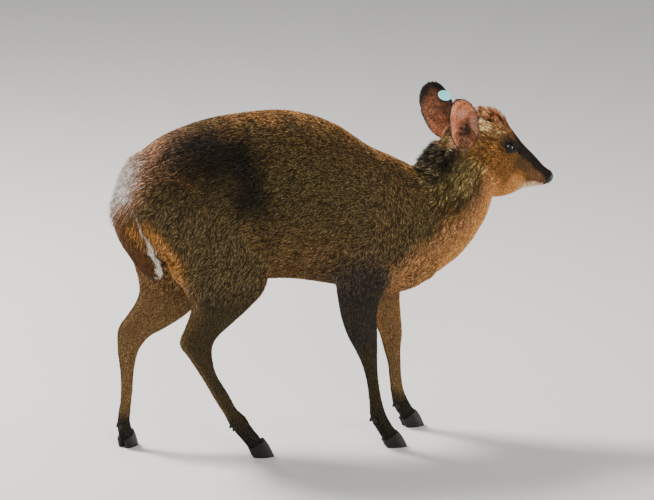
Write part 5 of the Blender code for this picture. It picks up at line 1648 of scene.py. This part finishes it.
def tag_frame():
    """The tag's middle on the ear's wall and the way out of its back."""
    a, c = np.full((1, 1), TAG_ALONG), np.full((1, 1), TAG_ACROSS)
    out = ear_ways(LEFT, a, c, 0.0, 0.02)[2][0, 0]
    return ear_place(LEFT, a, c)[0, 0], -out if out @ ear_frame(LEFT)[2] > 0 else out


middle, out = tag_frame()
out = unit(out + TAG_TILT)
beside = unit(np.cross(out, np.array((0.3, 0.1, 1.0))))
over = np.cross(out, beside)
turn = full_turn(TAG_SIDES)
radius, height = TAG_PROFILE[:, :1], TAG_PROFILE[:, 1:]
points, faces = capped(middle + height[..., None] * out + ring_round(turn, radius, beside, over))
# Painted shadow: the disc's edge and underside are dark as the shade under it; the pin and the back disc
# share that dark.
face_blue, shadow_and_back_dark = np.array((0.330, 0.930, 1.000)), np.array((0.030, 0.045, 0.055))
shadow_and_back_rows = np.arange(len(TAG_PROFILE)) >= TAG_FACE_ROWS
colours = np.repeat(np.where(shadow_and_back_rows[:, None], shadow_and_back_dark, face_blue), TAG_SIDES, axis=0)
colours = np.vstack((colours, face_blue, shadow_and_back_dark))
TAG = mottled("tag_plastic", 0.38, (240.0, 4.0), (0.86, 0.88, 0.90), (1.08, 1.06, 1.04),
              (0.28, 0.25), (0.15, 0.0003))
dress("tag_button", points, outward(points - middle, faces), TAG, "tag", ("ear_tag",), colours)

# %% [markdown]
# ## Studio
# A pale floor and large soft lights show the form without hard shadows. The key light
# stands high behind the far side, as the sun does in the photograph, so the back, rump
# and nape are edged with light; a broad fill by the camera opens the near side.

# %% Floor and lights
def plain_material(name, rgb, roughness):
    """A matt surface with the faintest unevenness."""
    made, shader, wire = material(name, roughness, Specular_IOR_Level=0.1)
    grain = noise(wire, 30.0)
    low, high = (tuple(c * k for c in rgb) + (1,) for k in (0.985, 1.015))
    plug(shader, "Base Color", mix(wire, grain, low, high))
    return made


FLOOR_REACH = 60.0
floor_points = np.array(((-1, -1, 0), (1, -1, 0), (1, 1, 0), (-1, 1, 0))) * FLOOR_REACH
floor = make_mesh("floor", floor_points, np.array(((0, 1, 2, 3),)))
floor.data.materials.append(plain_material("studio_floor", (0.82, 0.815, 0.80), 0.85))


def soft_light(name, place, size, power, colour):
    """A square area light aimed at the animal's middle."""
    data = bpy.data.lights.new(name, "AREA")
    data.size, data.energy, data.color = size, power, colour
    made = bpy.data.objects.new(name, data)
    bpy.context.scene.collection.objects.link(made)
    aim = Vector((0.0, 0.0, 0.35)) - Vector(place)
    made.matrix_world = Matrix.Translation(place) @ aim.to_track_quat("-Z", "Y").to_matrix().to_4x4()
    return made


soft_light("sun_side", (-1.5, 1.3, 2.6), 0.8, 175.0, (1.0, 0.97, 0.92))
soft_light("fill", (-0.6, -3.6, 2.2), 1.4, 70.0, (1.0, 0.98, 0.95))
soft_light("front", (3.0, -1.0, 0.6), 1.2, 48.0, (1.0, 0.96, 0.90))
SKY_COLOUR, SKY_STRENGTH = (0.90, 0.90, 0.90), 0.46
world = bpy.data.worlds.new("studio")
bpy.context.scene.world = world
world.use_nodes = True
sky = world.node_tree.nodes["Background"]
sky.inputs["Color"].default_value = (*SKY_COLOUR, 1.0)
sky.inputs["Strength"].default_value = SKY_STRENGTH

# %% [markdown]
# ## Camera
# A long lens from six metres, a little behind the shoulder and above: 20 degrees round
# from straight side on, 14 degrees above level and rolled by a degree and a half.

# %% Place the camera
CAMERA = np.array((-1.93000427, -5.40942253, 1.76629579))
TURN, RISE, ROLL = (math.radians(a) for a in (20.0, 14.0, 1.5))
SENSOR_MM, LENS_MM = 36.0, 198.165
level = np.array((math.cos(TURN), -math.sin(TURN), 0.0))
above = np.array((math.sin(TURN) * math.sin(RISE), math.cos(TURN) * math.sin(RISE), math.cos(RISE)))
behind = np.cross(level, above)
right = level * math.cos(ROLL) + above * math.sin(ROLL)
up = above * math.cos(ROLL) - level * math.sin(ROLL)
lens = bpy.data.cameras.new("camera")
lens.sensor_width, lens.lens = SENSOR_MM, LENS_MM
lens.clip_end = 100.0
camera = bpy.data.objects.new("camera", lens)
bpy.context.scene.collection.objects.link(camera)
turned = Matrix(np.column_stack((right, up, behind)).tolist()).to_4x4()
camera.matrix_world = Matrix.Translation((CAMERA + SHIFT).tolist()) @ turned
bpy.context.scene.camera = camera
print("camera at", np.round(CAMERA + SHIFT, 3))

# %% Measure and finish
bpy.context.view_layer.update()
shown = [o for o in bpy.context.scene.objects if o.type == "MESH" and not o.hide_render]
print("triangles", sum(len(o.data.polygons) for o in shown))
